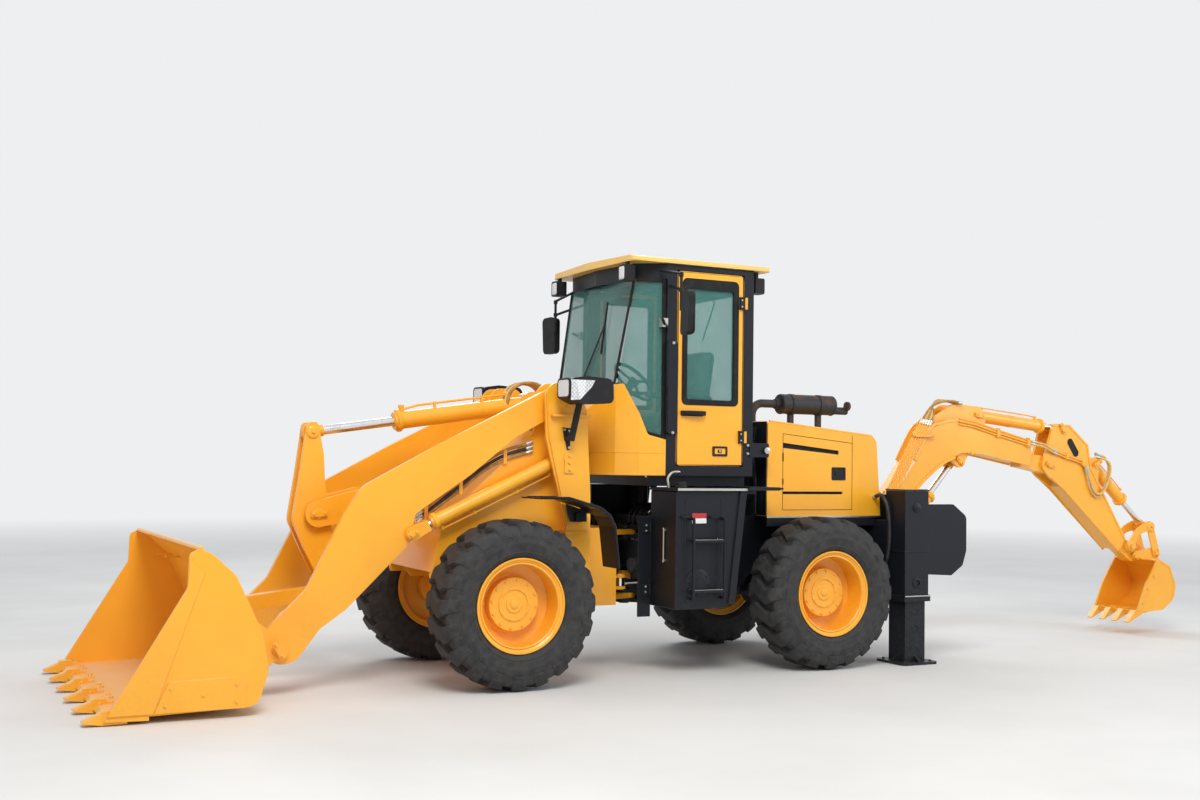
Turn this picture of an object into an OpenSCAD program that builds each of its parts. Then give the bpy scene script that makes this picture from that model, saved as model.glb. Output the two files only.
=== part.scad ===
// Articulated backhoe loader, millimetres.
// X points forward, Y to the machine's left, Z up; the ground is at z = 0.
// The origin is on the ground, midway between the loader's tooth tips and the backhoe bucket's back.
// Sizes along X are measured from a datum on the ground, datum_x ahead of the origin.

/* [Wheels] */
// Distance between the axles
wheelbase = 2650; // [2600:10:2700]
// Distance between the middles of the left and right tyres
track = 1610; // [1560:10:1660]
// Outside diameter of a tyre over its lugs
tyre_d = 1180; // [1140:10:1200]
// Width of a tyre
tyre_w = 406; // [380:2:420]
// Diameter of a rim over its flanges
rim_d = 660; // [620:5:680]
// Width of a rim over its flanges
rim_w = 344; // [320:2:356]
// Height of a tyre lug
lug_h = 32; // [20:1:40]
// Lugs in one row round a tyre
lug_count = 20; // [16:1:22]
// Width of a tyre lug along the tread
lug_w = 92; // [70:1:100]
// Radius of the axle tubes
axle_r = 85; // [70:1:95]

/* [Frames] */
// Half width over the rear frame's side plates
rear_frame_hw = 415; // [390:5:430]
// Half width over the front frame's side plates
front_frame_hw = 355; // [330:5:360]
// Thickness of the frame plates
frame_t = 30; // [20:1:36]
// Height of the deck on top of the rear frame
deck_z = 1175; // [1150:5:1190]
// Steering angle each way, in degrees
steer_max = 28; // [20:1:28]
// Radius of the steering hinge's pins
hinge_pin_r = 42; // [30:1:50]
// Thickness of one loader tower plate
tower_t = 22; // [16:1:26]
// Middle of a loader arm, out from the centre line
arm_y = 522; // [515:1:530]
// Width between the two plates of a tower
tower_gap = 150; // [144:1:160]

/* [Loader] */
// Thickness of a loader arm plate
arm_t = 45; // [35:1:50]
// Half width of the loader bucket over its side plates
bucket_hw = 1140; // [1080:5:1180]
// Thickness of the loader bucket's shell
bucket_t = 16; // [10:1:20]
// Teeth on the loader bucket
tooth_count = 6; // [5:1:8]
// Outside radius of a lift cylinder's barrel
lift_barrel_r = 50; // [42:1:56]
// Radius of a lift cylinder's rod
lift_rod_r = 27; // [22:1:32]
// Outside radius of the tilt cylinder's barrel
tilt_barrel_r = 64; // [55:1:70]
// Radius of the tilt cylinder's rod
tilt_rod_r = 34; // [26:1:40]
// Radius of the loader's large pins
pin_r = 35; // [28:1:40]

/* [Cab] */
// Half width of the cab over its side walls
cab_hw = 680; // [665:5:690]
// Back of the cab, ahead of the datum
cab_back_x = 300; // [290:5:320]
// Front edge of the door posts, ahead of the datum
cab_post_x = 1080; // [1070:5:1100]
// Underside of the cab's floor
cab_floor_z = 1490; // [1480:5:1510]
// Underside of the cab's roof panel
cab_roof_z = 3098; // [3060:5:3120]
// Thickness of the cab's walls
cab_wall = 45; // [36:1:50]
// Thickness of the doors
door_t = 34; // [28:1:40]
// Thickness of the window glass
glass_t = 8; // [5:1:12]
// Half width of the hood
hood_hw = 580; // [560:5:590]
// Thickness of the hood's sheet
hood_t = 12; // [6:1:16]
// Radius of the muffler
muffler_r = 80; // [65:1:95]

/* [Backhoe] */
// Swing pin's distance behind the datum
swing_back = 1390; // [1380:2:1400]
// Half width over the stabiliser sleeves
stab_hw = 950; // [930:5:970]
// Outside width of a stabiliser sleeve
sleeve_w = 240; // [230:2:250]
// Wall thickness of a stabiliser sleeve
sleeve_t = 14; // [10:1:16]
// Gap between a stabiliser leg and its sleeve
leg_gap = 5; // [3:0.5:7]
// Half width of the backhoe's boom
bh_boom_hw = 125; // [115:1:130]
// Half width of the backhoe's dipper
bh_dipper_hw = 92; // [80:1:95]
// Half width of the backhoe's bucket
bh_bucket_hw = 262; // [240:2:290]
// Teeth on the backhoe's bucket
bh_tooth_count = 4; // [3:1:5]
// Outside radius of the boom and dipper cylinders' barrels
bh_barrel_r = 55; // [48:1:60]
// Radius of the boom and dipper cylinders' rods
bh_rod_r = 28; // [22:1:32]
// Radius of the backhoe's pins
bh_pin_r = 28; // [22:1:30]

/* [Hidden] */
$fn = 48;

// Colours, as the photograph shows them
YELLOW = "#f6a81c";
CREAM = "#f2c864";
BLACK = "#23262b";
RUBBER = "#2b2b2d";
GLASS = "#9fc4b8";
STEEL = "#c9ccd0";
GREY = "#55585c";

// Running gap at a pin, gap between ears and the eye between them, and a seated gap
pin_gap = 0.4;
ear_gap = 3;
seat_gap = 0.3;
// How far a pin's head stands out of its ear
pin_head = 12;

// Wheels
axle_z = tyre_d / 2;
datum_x = 143;
hinge_x = 1055;
front_axle_x = hinge_x + wheelbase / 2;
rear_axle_x = hinge_x - wheelbase / 2;

// Linkage pins of the loader, [x, z] from the front axle and the ground
boom_pivot = [front_axle_x - 474, 2024];
lift_pin = [front_axle_x + 654, 1073];
lift_base = [front_axle_x - 510, 1610];
bell_pivot = [front_axle_x + 1195, 1195];
bell_top = [front_axle_x + 1236, 1772];
bell_low = [front_axle_x + 1040, 650];
bucket_pin = [front_axle_x + 1580, 320];
link_pin = [front_axle_x + 1730, 565];

// Linkage pins of the backhoe, [x, z] from the datum
boom_foot = [-swing_back - 90, 1130];
boom_cyl_base = [-swing_back - 170, 800];
boom_cyl_pin = [-2335, 1640];
dipper_pivot = [-3440, 1616];
dipper_cyl_base = [-2575, 2060];
dipper_cyl_pin = [-3600, 1963];
bucket_cyl_base = [-4052, 1640];
rocker_pivot = [-4511, 835];
rocker_top = [-4780, 1025];
bh_bucket_pin = [-4583, 740];
bh_link_pin = [-4864, 765];

// Points of an outline with rounded corners, from rows of [x, z, corner radius]
function unit(v) = v / norm(v);
function turn(a, b) = (b - a + 540) % 360 - 180;
function arc_points(a, b, c, r, n) =
    let (u = unit(a - b), w = unit(c - b), half = acos(u * w) / 2,
         mid = b + unit(u + w) * r / sin(half),
         s = b + u * r / tan(half) - mid, e = b + w * r / tan(half) - mid,
         a0 = atan2(s.y, s.x), da = turn(a0, atan2(e.y, e.x)))
    [for (i = [0 : n]) mid + r * [cos(a0 + da * i / n), sin(a0 + da * i / n)]];
function rounded(rows, n = 5) =
    let (m = len(rows))
    [for (i = [0 : m - 1])
        let (a = rows[(i + m - 1) % m], b = rows[i], c = rows[(i + 1) % m])
        each (b[2] > 0
            ? arc_points([a.x, a.y], [b.x, b.y], [c.x, c.y], b[2], n)
            : [[b.x, b.y]])];
// The same outline moved by a step
function moved(rows, step) = [for (r = rows) [r.x + step.x, r.y + step.y, r[2]]];
// An outline drawn from the front axle
function from_axle(rows) = moved(rows, [front_axle_x, 0]);
// Direction of b seen from a, in degrees up from +X
function aim(a, b) = atan2(b.y - a.y, b.x - a.x);

// Moves the drawing from the datum to the origin
module placed() {
    translate([-datum_x, 0, 0]) children();
}

module copy_y() {
    children();
    mirror([0, 1, 0]) children();
}

// An outline in the XZ plane, t thick, with its middle at y
module side(y, t) {
    translate([0, y + t / 2, 0]) rotate([90, 0, 0]) linear_extrude(t) children();
}
module side_plate(rows, y, t) {
    side(y, t) polygon(rounded(rows));
}

// A round bar along Y between y0 and y1 through the point p = [x, z]
module bar_y(p, r, y0, y1) {
    translate([p.x, y0, p.y]) rotate([-90, 0, 0]) cylinder(r = r, h = y1 - y0);
}

// A round bar along Z
module bar_z(x, y, r, z0, z1) {
    translate([x, y, z0]) cylinder(r = r, h = z1 - z0);
}

// A box from its lowest to its highest corner
module box(lo, hi) {
    translate(lo) cube(hi - lo);
}

// A round bar from point a to point b
module rod_between(a, b, r) {
    d = b - a;
    translate(a) rotate([0, acos(d.z / norm(d)), atan2(d.y, d.x)]) cylinder(r = r, h = norm(d));
}

// Children drawn along +X from a pin are placed at the pin and aimed at another
module along(a, b, y = 0) {
    translate([a.x, y, a.y]) rotate([0, -aim(a, b), 0]) children();
}

// Barrel of a cylinder along +X from its base pin: eye, tube, end cap and gland
module barrel(r, rod_r, length, eye_r, eye_w, hole_r, bore_depth) {
    difference() {
        union() {
            bar_y([0, 0], eye_r, -eye_w / 2, eye_w / 2);
            translate([eye_r * 0.6, 0, 0]) rotate([0, 90, 0]) cylinder(r = r * 0.96, h = r);
            translate([eye_r * 0.6 + r * 0.5, 0, 0]) rotate([0, 90, 0])
                cylinder(r = r, h = length - eye_r * 0.6 - r * 0.5);
            translate([length - r * 0.9, 0, 0]) rotate([0, 90, 0])
                cylinder(r = r * 1.1, h = r * 0.7);
        }
        bar_y([0, 0], hole_r + pin_gap, -eye_w, eye_w);
        translate([length - bore_depth, 0, 0]) rotate([0, 90, 0])
            cylinder(r = rod_r + pin_gap, h = bore_depth + 1);
    }
}

// Rod of a cylinder along -X from its eye, with the part inside the barrel
module rod(r, length, eye_r, eye_w) {
    bar_y([0, 0], eye_r, -eye_w / 2, eye_w / 2);
    translate([-length, 0, 0]) rotate([0, 90, 0]) cylinder(r = r, h = length - eye_r * 0.5);
    translate([-eye_r - r * 0.9, 0, 0]) rotate([0, 90, 0]) cylinder(r = r * 1.25, h = r * 0.9 + eye_r * 0.5);
}

// Pin heads on both faces of a pair of ears
module pin_heads(p, r, y) {
    copy_y() bar_y(p, r, y, y + pin_head);
}

// WHEELS
// Tyre about the Y axis; rows are [distance from the middle plane, radius]
bead_y = rim_w / 2 - 11.5;
tyre_r = tyre_d / 2;
tread_r = tyre_r - lug_h;
seat_r = rim_d / 2 - 30;
module tyre_body() {
    hw = tyre_w / 2;
    half = [
        [bead_y - 13.5, seat_r + seat_gap], [bead_y, rim_d / 2], [bead_y, rim_d / 2 + 3], [hw - 20,
            rim_d / 2 + 22],
        [hw - 6, rim_d / 2 + 60], [hw - 3, rim_d / 2 + 130], [hw - 9, tread_r - 60],
        [hw - 24, tread_r - 18], [hw - 48, tread_r - 3], [0, tread_r]
    ];
    far = [for (i = [len(half) - 2 : -1 : 0]) [-half[i].x, half[i].y]];
    rotate([90, 0, 0]) rotate_extrude($fn = 72)
        polygon([for (p = concat(half, far)) [p.y, p.x]]);
}
// One lug: its section is drawn from the tread's middle out over the shoulder
module lug() {
    hw = tyre_w / 2;
    section = [
        [-14, tread_r - 14], [-14, tyre_r - 6], [hw - 62, tyre_r - 8], [hw - 22, tyre_r - 30],
        [hw - 9, tyre_r - 66], [hw - 9, tyre_r - 98], [hw - 16, tyre_r - 104], [hw - 60, tread_r - 60]
    ];
    translate([0, hw * 0.45, 0]) rotate([0, 0, 24]) translate([0, -hw * 0.45, 0])
        rotate([90, 0, 90]) linear_extrude(lug_w, center = true) polygon(section);
}
module tyre(x, y, flip) {
    color(RUBBER) placed() translate([x, y, axle_z]) mirror([flip, 0, 0]) {
        union() {
            tyre_body();
            for (i = [0 : lug_count - 1]) {
                rotate([0, i * 360 / lug_count, 0]) lug();
                mirror([0, 1, 0]) rotate([0, (i + 0.5) * 360 / lug_count, 0]) lug();
            }
        }
    }
}

// Rim about the Y axis, its outer side towards +Y; rows are [radius, distance out]
hub_bore_r = 62;
hub_in = 60;
module rim(x, y, flip) {
    hw = rim_w / 2;
    outer = rim_d / 2;
    color(YELLOW) placed() translate([x, y, axle_z]) mirror([0, flip, 0]) rotate([-90, 0, 0])
        difference() {
            rotate_extrude($fn = 72) polygon([
                [0, 46], [0, -hub_in], [150, -hub_in], [200, -56], [seat_r - 22, -44],
                [seat_r - 16, -hw + 26], [outer - 10, -hw + 12], [outer - 10, -hw], [outer, -hw],
                [outer, -hw + 11], [seat_r, -hw + 24], [seat_r, hw - 24], [outer, hw - 11],
                [outer, hw], [outer - 10, hw], [outer - 14, hw - 10], [seat_r - 14, hw - 30],
                [seat_r - 18, -24], [206, -40], [190, -36], [188, 34], [184, 38], [118, 38],
                [116, 46], [102, 46], [100, 38], [62, 38], [58, 46]
            ]);
            translate([0, 0, -hub_in - 1]) cylinder(r = hub_bore_r + seat_gap, h = 80);
        }
}

// Axle housing with its differential and the spindles that carry the hubs
module axle(x) {
    tube_end = track / 2 - hub_in - 70;
    translate([x, 0, axle_z]) {
        copy_y() {
            bar_y([0, 0], axle_r, 0, tube_end);
            bar_y([0, 0], axle_r + 55, tube_end - 30, tube_end + 40);
            bar_y([0, 0], hub_bore_r, tube_end, track / 2 - hub_in + 70);
        }
        rotate([90, 45, 0]) rotate_extrude() polygon(concat(
            [[0, -190], [axle_r + 5, -190]],
            [for (a = [-60 : 20 : 60]) [205 * cos(a) + 5, 170 * sin(a) * 1.1]],
            [[axle_r + 5, 190], [0, 190]]));
    }
}

// REAR FRAME
hinge_low_z = 540;
hinge_top_z = 1040;
lug_t = 40;
lug_r = 95;
frame_back_x = -980;
rear_nose_x = hinge_x - 130;
hanger_gap = 250;
trunnion_r = 60;
sleeve_front_x = -1000;

// A hinge lug: a plate that narrows from a frame's end to a round end at the hinge
module hinge_lug(from_x, half_w, z, t) {
    translate([0, 0, z]) linear_extrude(t) {
        translate([hinge_x, 0]) circle(r = lug_r);
        polygon([[from_x, -half_w], [hinge_x, -lug_r], [hinge_x, lug_r], [from_x, half_w]]);
    }
}

module rear_frame() {
    plate_y = rear_frame_hw - frame_t / 2;
    deck_t = 12;
    color(BLACK) placed() {
        difference() {
            union() {
                copy_y() {
                    side_plate([
                        [frame_back_x, 740, 0], [rear_axle_x + 380, 740, 120],
                        [rear_axle_x + 620, 480, 120], [rear_nose_x, 480, 30],
                        [rear_nose_x, 1110, 60], [rear_nose_x - 170, deck_z - deck_t, 0],
                        [frame_back_x, deck_z - deck_t, 0]
                    ], plate_y, frame_t);
                    // Channel along the deck's edge
                    box([frame_back_x + 5, hood_hw - 30, deck_z - 80], [90, hood_hw, deck_z - deck_t]);
                }
                box([frame_back_x - 60, -hood_hw, deck_z - deck_t], [90, hood_hw, deck_z]);
                box([90, -rear_frame_hw, deck_z - deck_t], [rear_nose_x - 170, rear_frame_hw, deck_z]);
                // Cross plates
                for (x = [rear_nose_x - 25, rear_axle_x + 640])
                    box([x, -plate_y, 480], [x + 25, plate_y, deck_z - deck_t]);
                box([frame_back_x, -plate_y, 740], [frame_back_x + 25, plate_y, deck_z - deck_t]);
                // Hangers that carry the rear axle's trunnions
                for (s = [-1, 1])
                    translate([rear_axle_x + s * (hanger_gap + 20) - 20, 0, 0])
                        rotate([90, 0, 90]) linear_extrude(40) {
                            translate([0, axle_z]) circle(r = trunnion_r + 35);
                            polygon([[-180, 740], [-95, axle_z], [95, axle_z], [180, 740]]);
                            polygon([[-plate_y, 740], [plate_y, 740], [plate_y, 780], [-plate_y, 780]]);
                        }
                // Steering hinge lugs in pairs, with the pins
                for (z = [hinge_low_z, hinge_top_z]) {
                    hinge_lug(rear_nose_x, 220, z + lug_t / 2 + ear_gap, 30);
                    hinge_lug(rear_nose_x, 220, z - lug_t / 2 - ear_gap - 30, 30);
                }
                // Posts that carry the cab
                copy_y() for (x = [cab_back_x + 110, rear_nose_x - 230])
                    bar_z(x, plate_y - 40, 45, deck_z - 1, cab_floor_z);
                // Platform under the cab
                box([cab_back_x + 25, -cab_hw + 75, tank_top_z + 32], [cab_post_x + 100, cab_hw - 75,
                    cab_floor_z]);
                // Ears of the steering cylinders
                copy_y() for (z = [steer_z - 62, steer_z + 42])
                    box([steer_base.x - 50, steer_base.y - 50, z], [steer_base.x + 50, plate_y, z + 20]);
            }
            for (s = [-1, 1])
                translate([rear_axle_x + s * (hanger_gap + 20) - 21, 0, axle_z])
                    rotate([0, 90, 0]) cylinder(r = trunnion_r + seat_gap, h = 42);
            // Openings in the nose plate that the steering cylinders pass through
            copy_y() box([rear_nose_x - 30, 130, steer_z - 75], [rear_nose_x + 5, 350, steer_z + 75]);
        }
        for (z = [hinge_low_z, hinge_top_z])
            bar_z(hinge_x, 0, hinge_pin_r, z - lug_t / 2 - ear_gap - 42, z + lug_t / 2 + ear_gap + 42);
        copy_y() bar_z(steer_base.x, steer_base.y, steer_pin_r, steer_z - 70, steer_z + 70);
    }
}

module rear_axle() {
    color(BLACK) placed() {
        axle(rear_axle_x);
        for (a = [0, 180]) translate([rear_axle_x, 0, axle_z])
            rotate([0, 90, a]) translate([0, 0, 150]) cylinder(r = trunnion_r, h = hanger_gap - 100);
    }
}

// STEERING CYLINDERS
// Pins at [x, y]; the cylinders lie level at steer_z
steer_z = 665;
steer_pin_r = 22;
steer_base = [hinge_x - 600, 250];
steer_eye = [hinge_x + 170, 250];
steer_barrel_r = 40;
steer_rod_r = 21;
steer_eye_r = 38;
steer_len = norm(steer_eye - steer_base);
steer_gland = 500;
steer_rod_len = 520;
steer_turn = atan2(steer_eye.y - steer_base.y, steer_eye.x - steer_base.x);

module steer_at(p, flip) {
    mirror([0, flip, 0]) translate([p.x, p.y, steer_z]) rotate([90, 0, steer_turn]) children();
}
module steer_barrel(flip) {
    color(YELLOW) placed() steer_at(steer_base, flip)
        barrel(steer_barrel_r, steer_rod_r, steer_gland, steer_eye_r, 76, steer_pin_r, steer_gland - 45);
}
module steer_rod(flip) {
    color(STEEL) placed() steer_at(steer_eye, flip)
        rod(steer_rod_r, steer_rod_len, steer_eye_r, 60);
}

// TANKS AND STEPS
tank_front_x = hinge_x + 45;
tank_in_y = 502;
tank_out_y = 890;
tank_low_z = 505;
tank_top_z = 1380;
module tank_body() {
    // Trapezoid box: the rear edge leans forward towards the bottom
    side_plate([
        [tank_front_x, tank_low_z, 12], [tank_front_x, tank_top_z, 12],
        [540, tank_top_z, 12], [640, tank_low_z, 12]
    ], (tank_in_y + tank_out_y - 14) / 2, tank_out_y - tank_in_y - 14);
}
module tanks() {
    color(BLACK) placed() copy_y() {
        tank_body();
        // Leaning rear post, plate ahead of the inner front corner, and top edge
        side_plate([
            [542, tank_top_z, 0], [642, tank_low_z + 30, 0], [584, tank_low_z + 30, 0], [484, tank_top_z, 0]
        ], tank_out_y - 20, 40);
        box([tank_front_x - 2, tank_in_y - 12, tank_low_z - 85], [tank_front_x + 105, tank_in_y,
            tank_top_z - 205]);
        box([482, tank_in_y - 12, tank_top_z], [tank_front_x + 4, tank_out_y + 12, tank_top_z + 22]);
        // Arms that hold the tank on the frame
        for (x = [rear_nose_x - 260, rear_nose_x - 60])
            box([x, rear_frame_hw, 820], [x + 60, tank_in_y, 900]);
        // Ladder: two bent rails and two treads
        for (x = [ladder_x - 135, ladder_x + 135]) {
            rod_between([x, ladder_y, 588], [x, ladder_y, 1175], 11);
            for (z = [588, 1175]) rod_between([x, ladder_y, z], [x, tank_out_y - 20, z], 11);
        }
        for (z = [640, 1010])
            box([ladder_x - 130, tank_out_y - 14, z - 9], [ladder_x + 130, ladder_y + 9, z + 9]);
    }
}
ladder_x = 842;
ladder_y = tank_out_y + 42;

module rear_fenders() {
    color(BLACK) placed() copy_y() {
        side_plate([[170, 1405, 0], [210, 1412, 0], [481.6, 1412, 0], [481.6, 1386, 0], [215, 1386, 0],
            [170, 1398, 0]],
            765, 310);
        box([215, rear_frame_hw - 10, 1350], [300, 612, 1386]);
        box([250, rear_frame_hw - 10, deck_z + seat_gap], [290, rear_frame_hw + 30, 1350]);
    }
}

// CAB
cab_in_y = cab_hw - cab_wall;
door_x0 = cab_back_x + 92;
door_x1 = cab_post_x - 90;
door_z0 = cab_floor_z + 78;
door_z1 = cab_roof_z - 50;
sill_z = 1762;
glass_top_z = cab_roof_z - 118;
// Front corners of the cab's glass, [x, half width], at the glass's foot and head
glass_foot = [1420, 470];
glass_head = [1290, 520];
glass_foot_z = 2175;
door_clear = 5;
module cab_plan(inset) {
    polygon([
        [cab_back_x + inset, -cab_hw + inset], [cab_post_x, -cab_hw + inset],
        [glass_head.x - inset, -glass_head.y + inset], [glass_head.x + 50 - inset, 0],
        [glass_head.x - inset, glass_head.y - inset], [cab_post_x, cab_hw - inset],
        [cab_back_x + inset, cab_hw - inset]
    ]);
}
module cab_shell() {
    color(BLACK) placed() difference() {
        translate([0, 0, cab_floor_z]) linear_extrude(cab_roof_z - cab_floor_z) cab_plan(0);
        translate([0, 0, cab_floor_z + 40]) linear_extrude(cab_roof_z) cab_plan(cab_wall);
        // Open front above the cowl, under the roof rail
        box([cab_post_x, -cab_hw - 1, cab_floor_z - 1], [2000, cab_hw + 1, glass_top_z]);
        // Door openings, with a step that the door closes against
        box([door_x0 + 20, -cab_hw - 1, door_z0 + 20], [door_x1 - 20, cab_hw + 1, door_z1 - 20]);
        copy_y() box([door_x0 - door_clear, cab_hw - door_t - 1, door_z0 - door_clear],
            [door_x1 + door_clear, cab_hw + 1, door_z1 + door_clear]);
        // Rear window
        box([cab_back_x - 1, -cab_in_y + 90, 2000], [cab_back_x + cab_wall + 1, cab_in_y - 90,
            cab_roof_z - 150]);
    }
}

module cab_roof() {
    color(CREAM) placed() translate([0, 0, cab_roof_z]) {
        intersection() {
            linear_extrude(60) polygon(rounded([
                [145, -705, 60], [1385, -705, 60], [1415, 0, 0], [1385, 705, 60], [145, 705, 60]]));
            rotate([90, 0, 90]) linear_extrude(1600) polygon(rounded([
                [-720, 0, 0], [720, 0, 0], [720, 28, 0], [640, 46, 60], [0, 58, 900], [-640, 46, 60],
                    [-720, 28, 0]]));
        }
    }
}

// A flat pane through corners given in order round it, t thick
module pane(c, t) {
    m = len(c);
    n = cross(c[1] - c[0], c[m - 1] - c[0]);
    d = n / norm(n) * t;
    polyhedron(
        points = concat(c, [for (p = c) p + d]),
        faces = concat(
            [for (i = [1 : m - 2]) [0, i, i + 1]],
            [for (i = [1 : m - 2]) [m + i + 1, m + i, m]],
            [for (i = [0 : m - 1]) [i, m + i, m + (i + 1) % m, (i + 1) % m]]));
}
// Y of the left corner glass's plane at x and z
function corner_y(x, z) = cab_hw - 10 - 0.607 * (x - cab_post_x - 6) - 0.015 * (z - sill_z - 6);
function corner_at(x, z) = [x, corner_y(x, z), z];
module cab_glass() {
    g = 6;
    color(GLASS) placed() {
        // Front glass, corner glasses and rear window
        pane([[glass_foot.x, glass_foot.y, glass_foot_z + 2], [glass_foot.x, -glass_foot.y, glass_foot_z + 2],
            [glass_head.x, -glass_head.y + 12, glass_top_z - g], [glass_head.x, glass_head.y - 12,
                glass_top_z - g]], glass_t);
        copy_y() pane([corner_at(cab_post_x + 6, sill_z + g), corner_at(cab_post_x + 144, sill_z + 53),
            corner_at(glass_foot.x - 26, glass_foot_z + 3), corner_at(glass_head.x - 12, glass_top_z - g),
            corner_at(cab_post_x + 6, glass_top_z - g)], glass_t);
        box([cab_back_x + 18, -cab_in_y + 90 + seat_gap, 2000 + seat_gap],
            [cab_back_x + 18 + glass_t, cab_in_y - 90 - seat_gap, cab_roof_z - 150 - seat_gap]);
    }
}

// Cowl: the yellow skirt round the foot of the glass
module cowl_side(inset) {
    side(0, 2 * cab_hw) polygon(rounded([
        [cab_post_x + 1, cab_floor_z, 0], [hinge_x + 565 - inset, cab_floor_z, 0],
        [hinge_x + 545 - inset, 1960, 60], [glass_foot.x + 20, glass_foot_z - inset, 30],
        [glass_foot.x - 20, glass_foot_z - inset, 0], [cab_post_x + 150, sill_z + 35 - inset, 40],
        [cab_post_x + 1, sill_z - inset, 0]
    ]));
}
module cowl_plan(inset) {
    polygon([
        [cab_post_x, -cab_hw + inset], [hinge_x + 245, -cab_hw + 15 + inset], [hinge_x + 395, -560 + inset],
        [hinge_x + 560 - inset, -300], [hinge_x + 560 - inset, 300],
        [hinge_x + 395, 560 - inset], [hinge_x + 245, cab_hw - 15 - inset], [cab_post_x, cab_hw - inset]
    ]);
}
module cab_cowl() {
    color(YELLOW) placed() difference() {
        intersection() {
            cowl_side(0);
            translate([0, 0, cab_floor_z]) linear_extrude(900) cowl_plan(0);
        }
        intersection() {
            cowl_side(20);
            translate([0, 0, cab_floor_z + 40]) linear_extrude(900) cowl_plan(26);
        }
        // Room for the foot of the glass
        box([cab_post_x - 1, -290, sill_z - 60], [cab_post_x + 220, 290, 2400]);
    }
}

module door(flip) {
    win_x0 = door_x0 + 52;
    win_x1 = door_x1 - 48;
    win_z0 = 2035;
    win_z1 = door_z1 - 55;
    color(YELLOW) placed() mirror([0, flip, 0]) {
        difference() {
            side_plate([[door_x0, door_z0, 30], [door_x1, door_z0, 30], [door_x1, door_z1, 30], [door_x0,
                door_z1, 30]],
                cab_hw - door_t / 2, door_t);
            side_plate([[win_x0, win_z0, 40], [win_x1, win_z0, 40], [win_x1, win_z1, 40], [win_x0,
                win_z1, 40]],
                cab_hw - door_t / 2, door_t + 2);
            // Hollow back of the lower panel
            side_plate([[win_x0, door_z0 + 50, 20], [win_x1, door_z0 + 50, 20], [win_x1, win_z0 - 60,
                20], [win_x0, win_z0 - 60, 20]],
                cab_hw - door_t + 8, 18);
        }
        // Pull handle, lock plate and hinge knuckles
        box([door_x1 - 240, cab_hw, 1955], [door_x1 - 40, cab_hw + 26, 1980]);
        box([door_x1 - 452, cab_hw, 1648], [door_x1 - 326, cab_hw + 6, 1715]);
        for (z = [door_z0 + 180, door_z1 - 260])
            bar_z(door_x0 - 12, cab_hw + 14, 13, z, z + 90);
        for (z = [door_z0 + 180, door_z1 - 260])
            box([door_x0 - 12, cab_hw + 1, z], [door_x0 + 40, cab_hw + 12, z + 90]);
        for (z = [door_z0 + 180, door_z1 - 260])
            box([door_x0 + 2, cab_hw - 6, z], [door_x0 + 40, cab_hw + 5, z + 90]);
    }
}
module door_glass(flip) {
    color(GLASS) placed() mirror([0, flip, 0])
        side_plate([[door_x0 + 52.3, 2035.3, 39.7], [door_x1 - 48.3, 2035.3, 39.7],
            [door_x1 - 48.3, door_z1 - 55.3, 39.7], [door_x0 + 52.3, door_z1 - 55.3, 39.7]],
                cab_hw - door_t / 2, glass_t);
}

// Seat on its swivel, facing forward
seat_x = 700;
seat_z = cab_floor_z + 40;
module seat() {
    color(BLACK) placed() translate([seat_x, 0, seat_z]) {
        cylinder(r = 150, h = 14);
        cylinder(r = 75, h = 300);
        box([-210, -210, 300], [210, 210, 330]);
        box([-250, -240, 330], [250, 240, 440]);
        translate([-262, 0, 430]) rotate([0, -8, 0]) translate([0, -230, 0]) cube([100, 460, 560]);
    }
}

module steering_console() {
    color(BLACK) placed() {
        side_plate([[1120, seat_z, 0], [1120, seat_z + 420, 60], [1190, seat_z + 560, 60], [1290,
            seat_z + 560, 40], [1290, seat_z, 0]],
            0, 300);
        rod_between([1180, 0, seat_z + 520], [992, 0, seat_z + 698], 32);
        translate([990, 0, seat_z + 700]) rotate([0, -46, 0]) {
            rotate_extrude() translate([190, 0]) circle(r = 13, $fn = 16);
            cylinder(r = 45, h = 30, center = true);
            for (a = [90, 210, 330]) rotate([0, 0, a]) translate([20, -12, -6]) cube([166, 24, 12]);
        }
    }
}

module mirrors() {
    x = hinge_x + 132;
    color(BLACK) placed() copy_y() {
        // Tubes of the bracket from the roof rail, and the mirror head
        rod_between([cab_post_x + 62, cab_hw - 4, cab_roof_z - 60], [x, 1060, cab_roof_z - 130], 11);
        rod_between([cab_post_x - 22, cab_hw + 12, cab_roof_z - 175], [x, 1060, cab_roof_z - 250], 11);
        rod_between([x, 1060, cab_roof_z - 120], [x, 1060, cab_roof_z - 400], 11);
        translate([x, 1150, cab_roof_z - 420]) rotate([0, 0, -12])
            rotate([90, 0, 90]) linear_extrude(46, center = true)
                polygon(rounded([[-95, -160, 40], [75, -165, 40], [95, 150, 40], [-70, 160, 40]]));
    }
}

module work_lamps() {
    color(BLACK) placed() copy_y() {
        translate([glass_head.x + 90, 585, cab_roof_z - 88]) {
            box([-40, -52, -60], [40, 52, 60]);
            box([-14, -14, 60], [14, 14, 88 - seat_gap]);
        }
        translate([cab_back_x - 70, 600, cab_roof_z - 110]) {
            box([-40, -60, -60], [40, 60, 60]);
            box([-14, -14, 60], [14, 14, 110 - seat_gap]);
        }
    }
}

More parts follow.
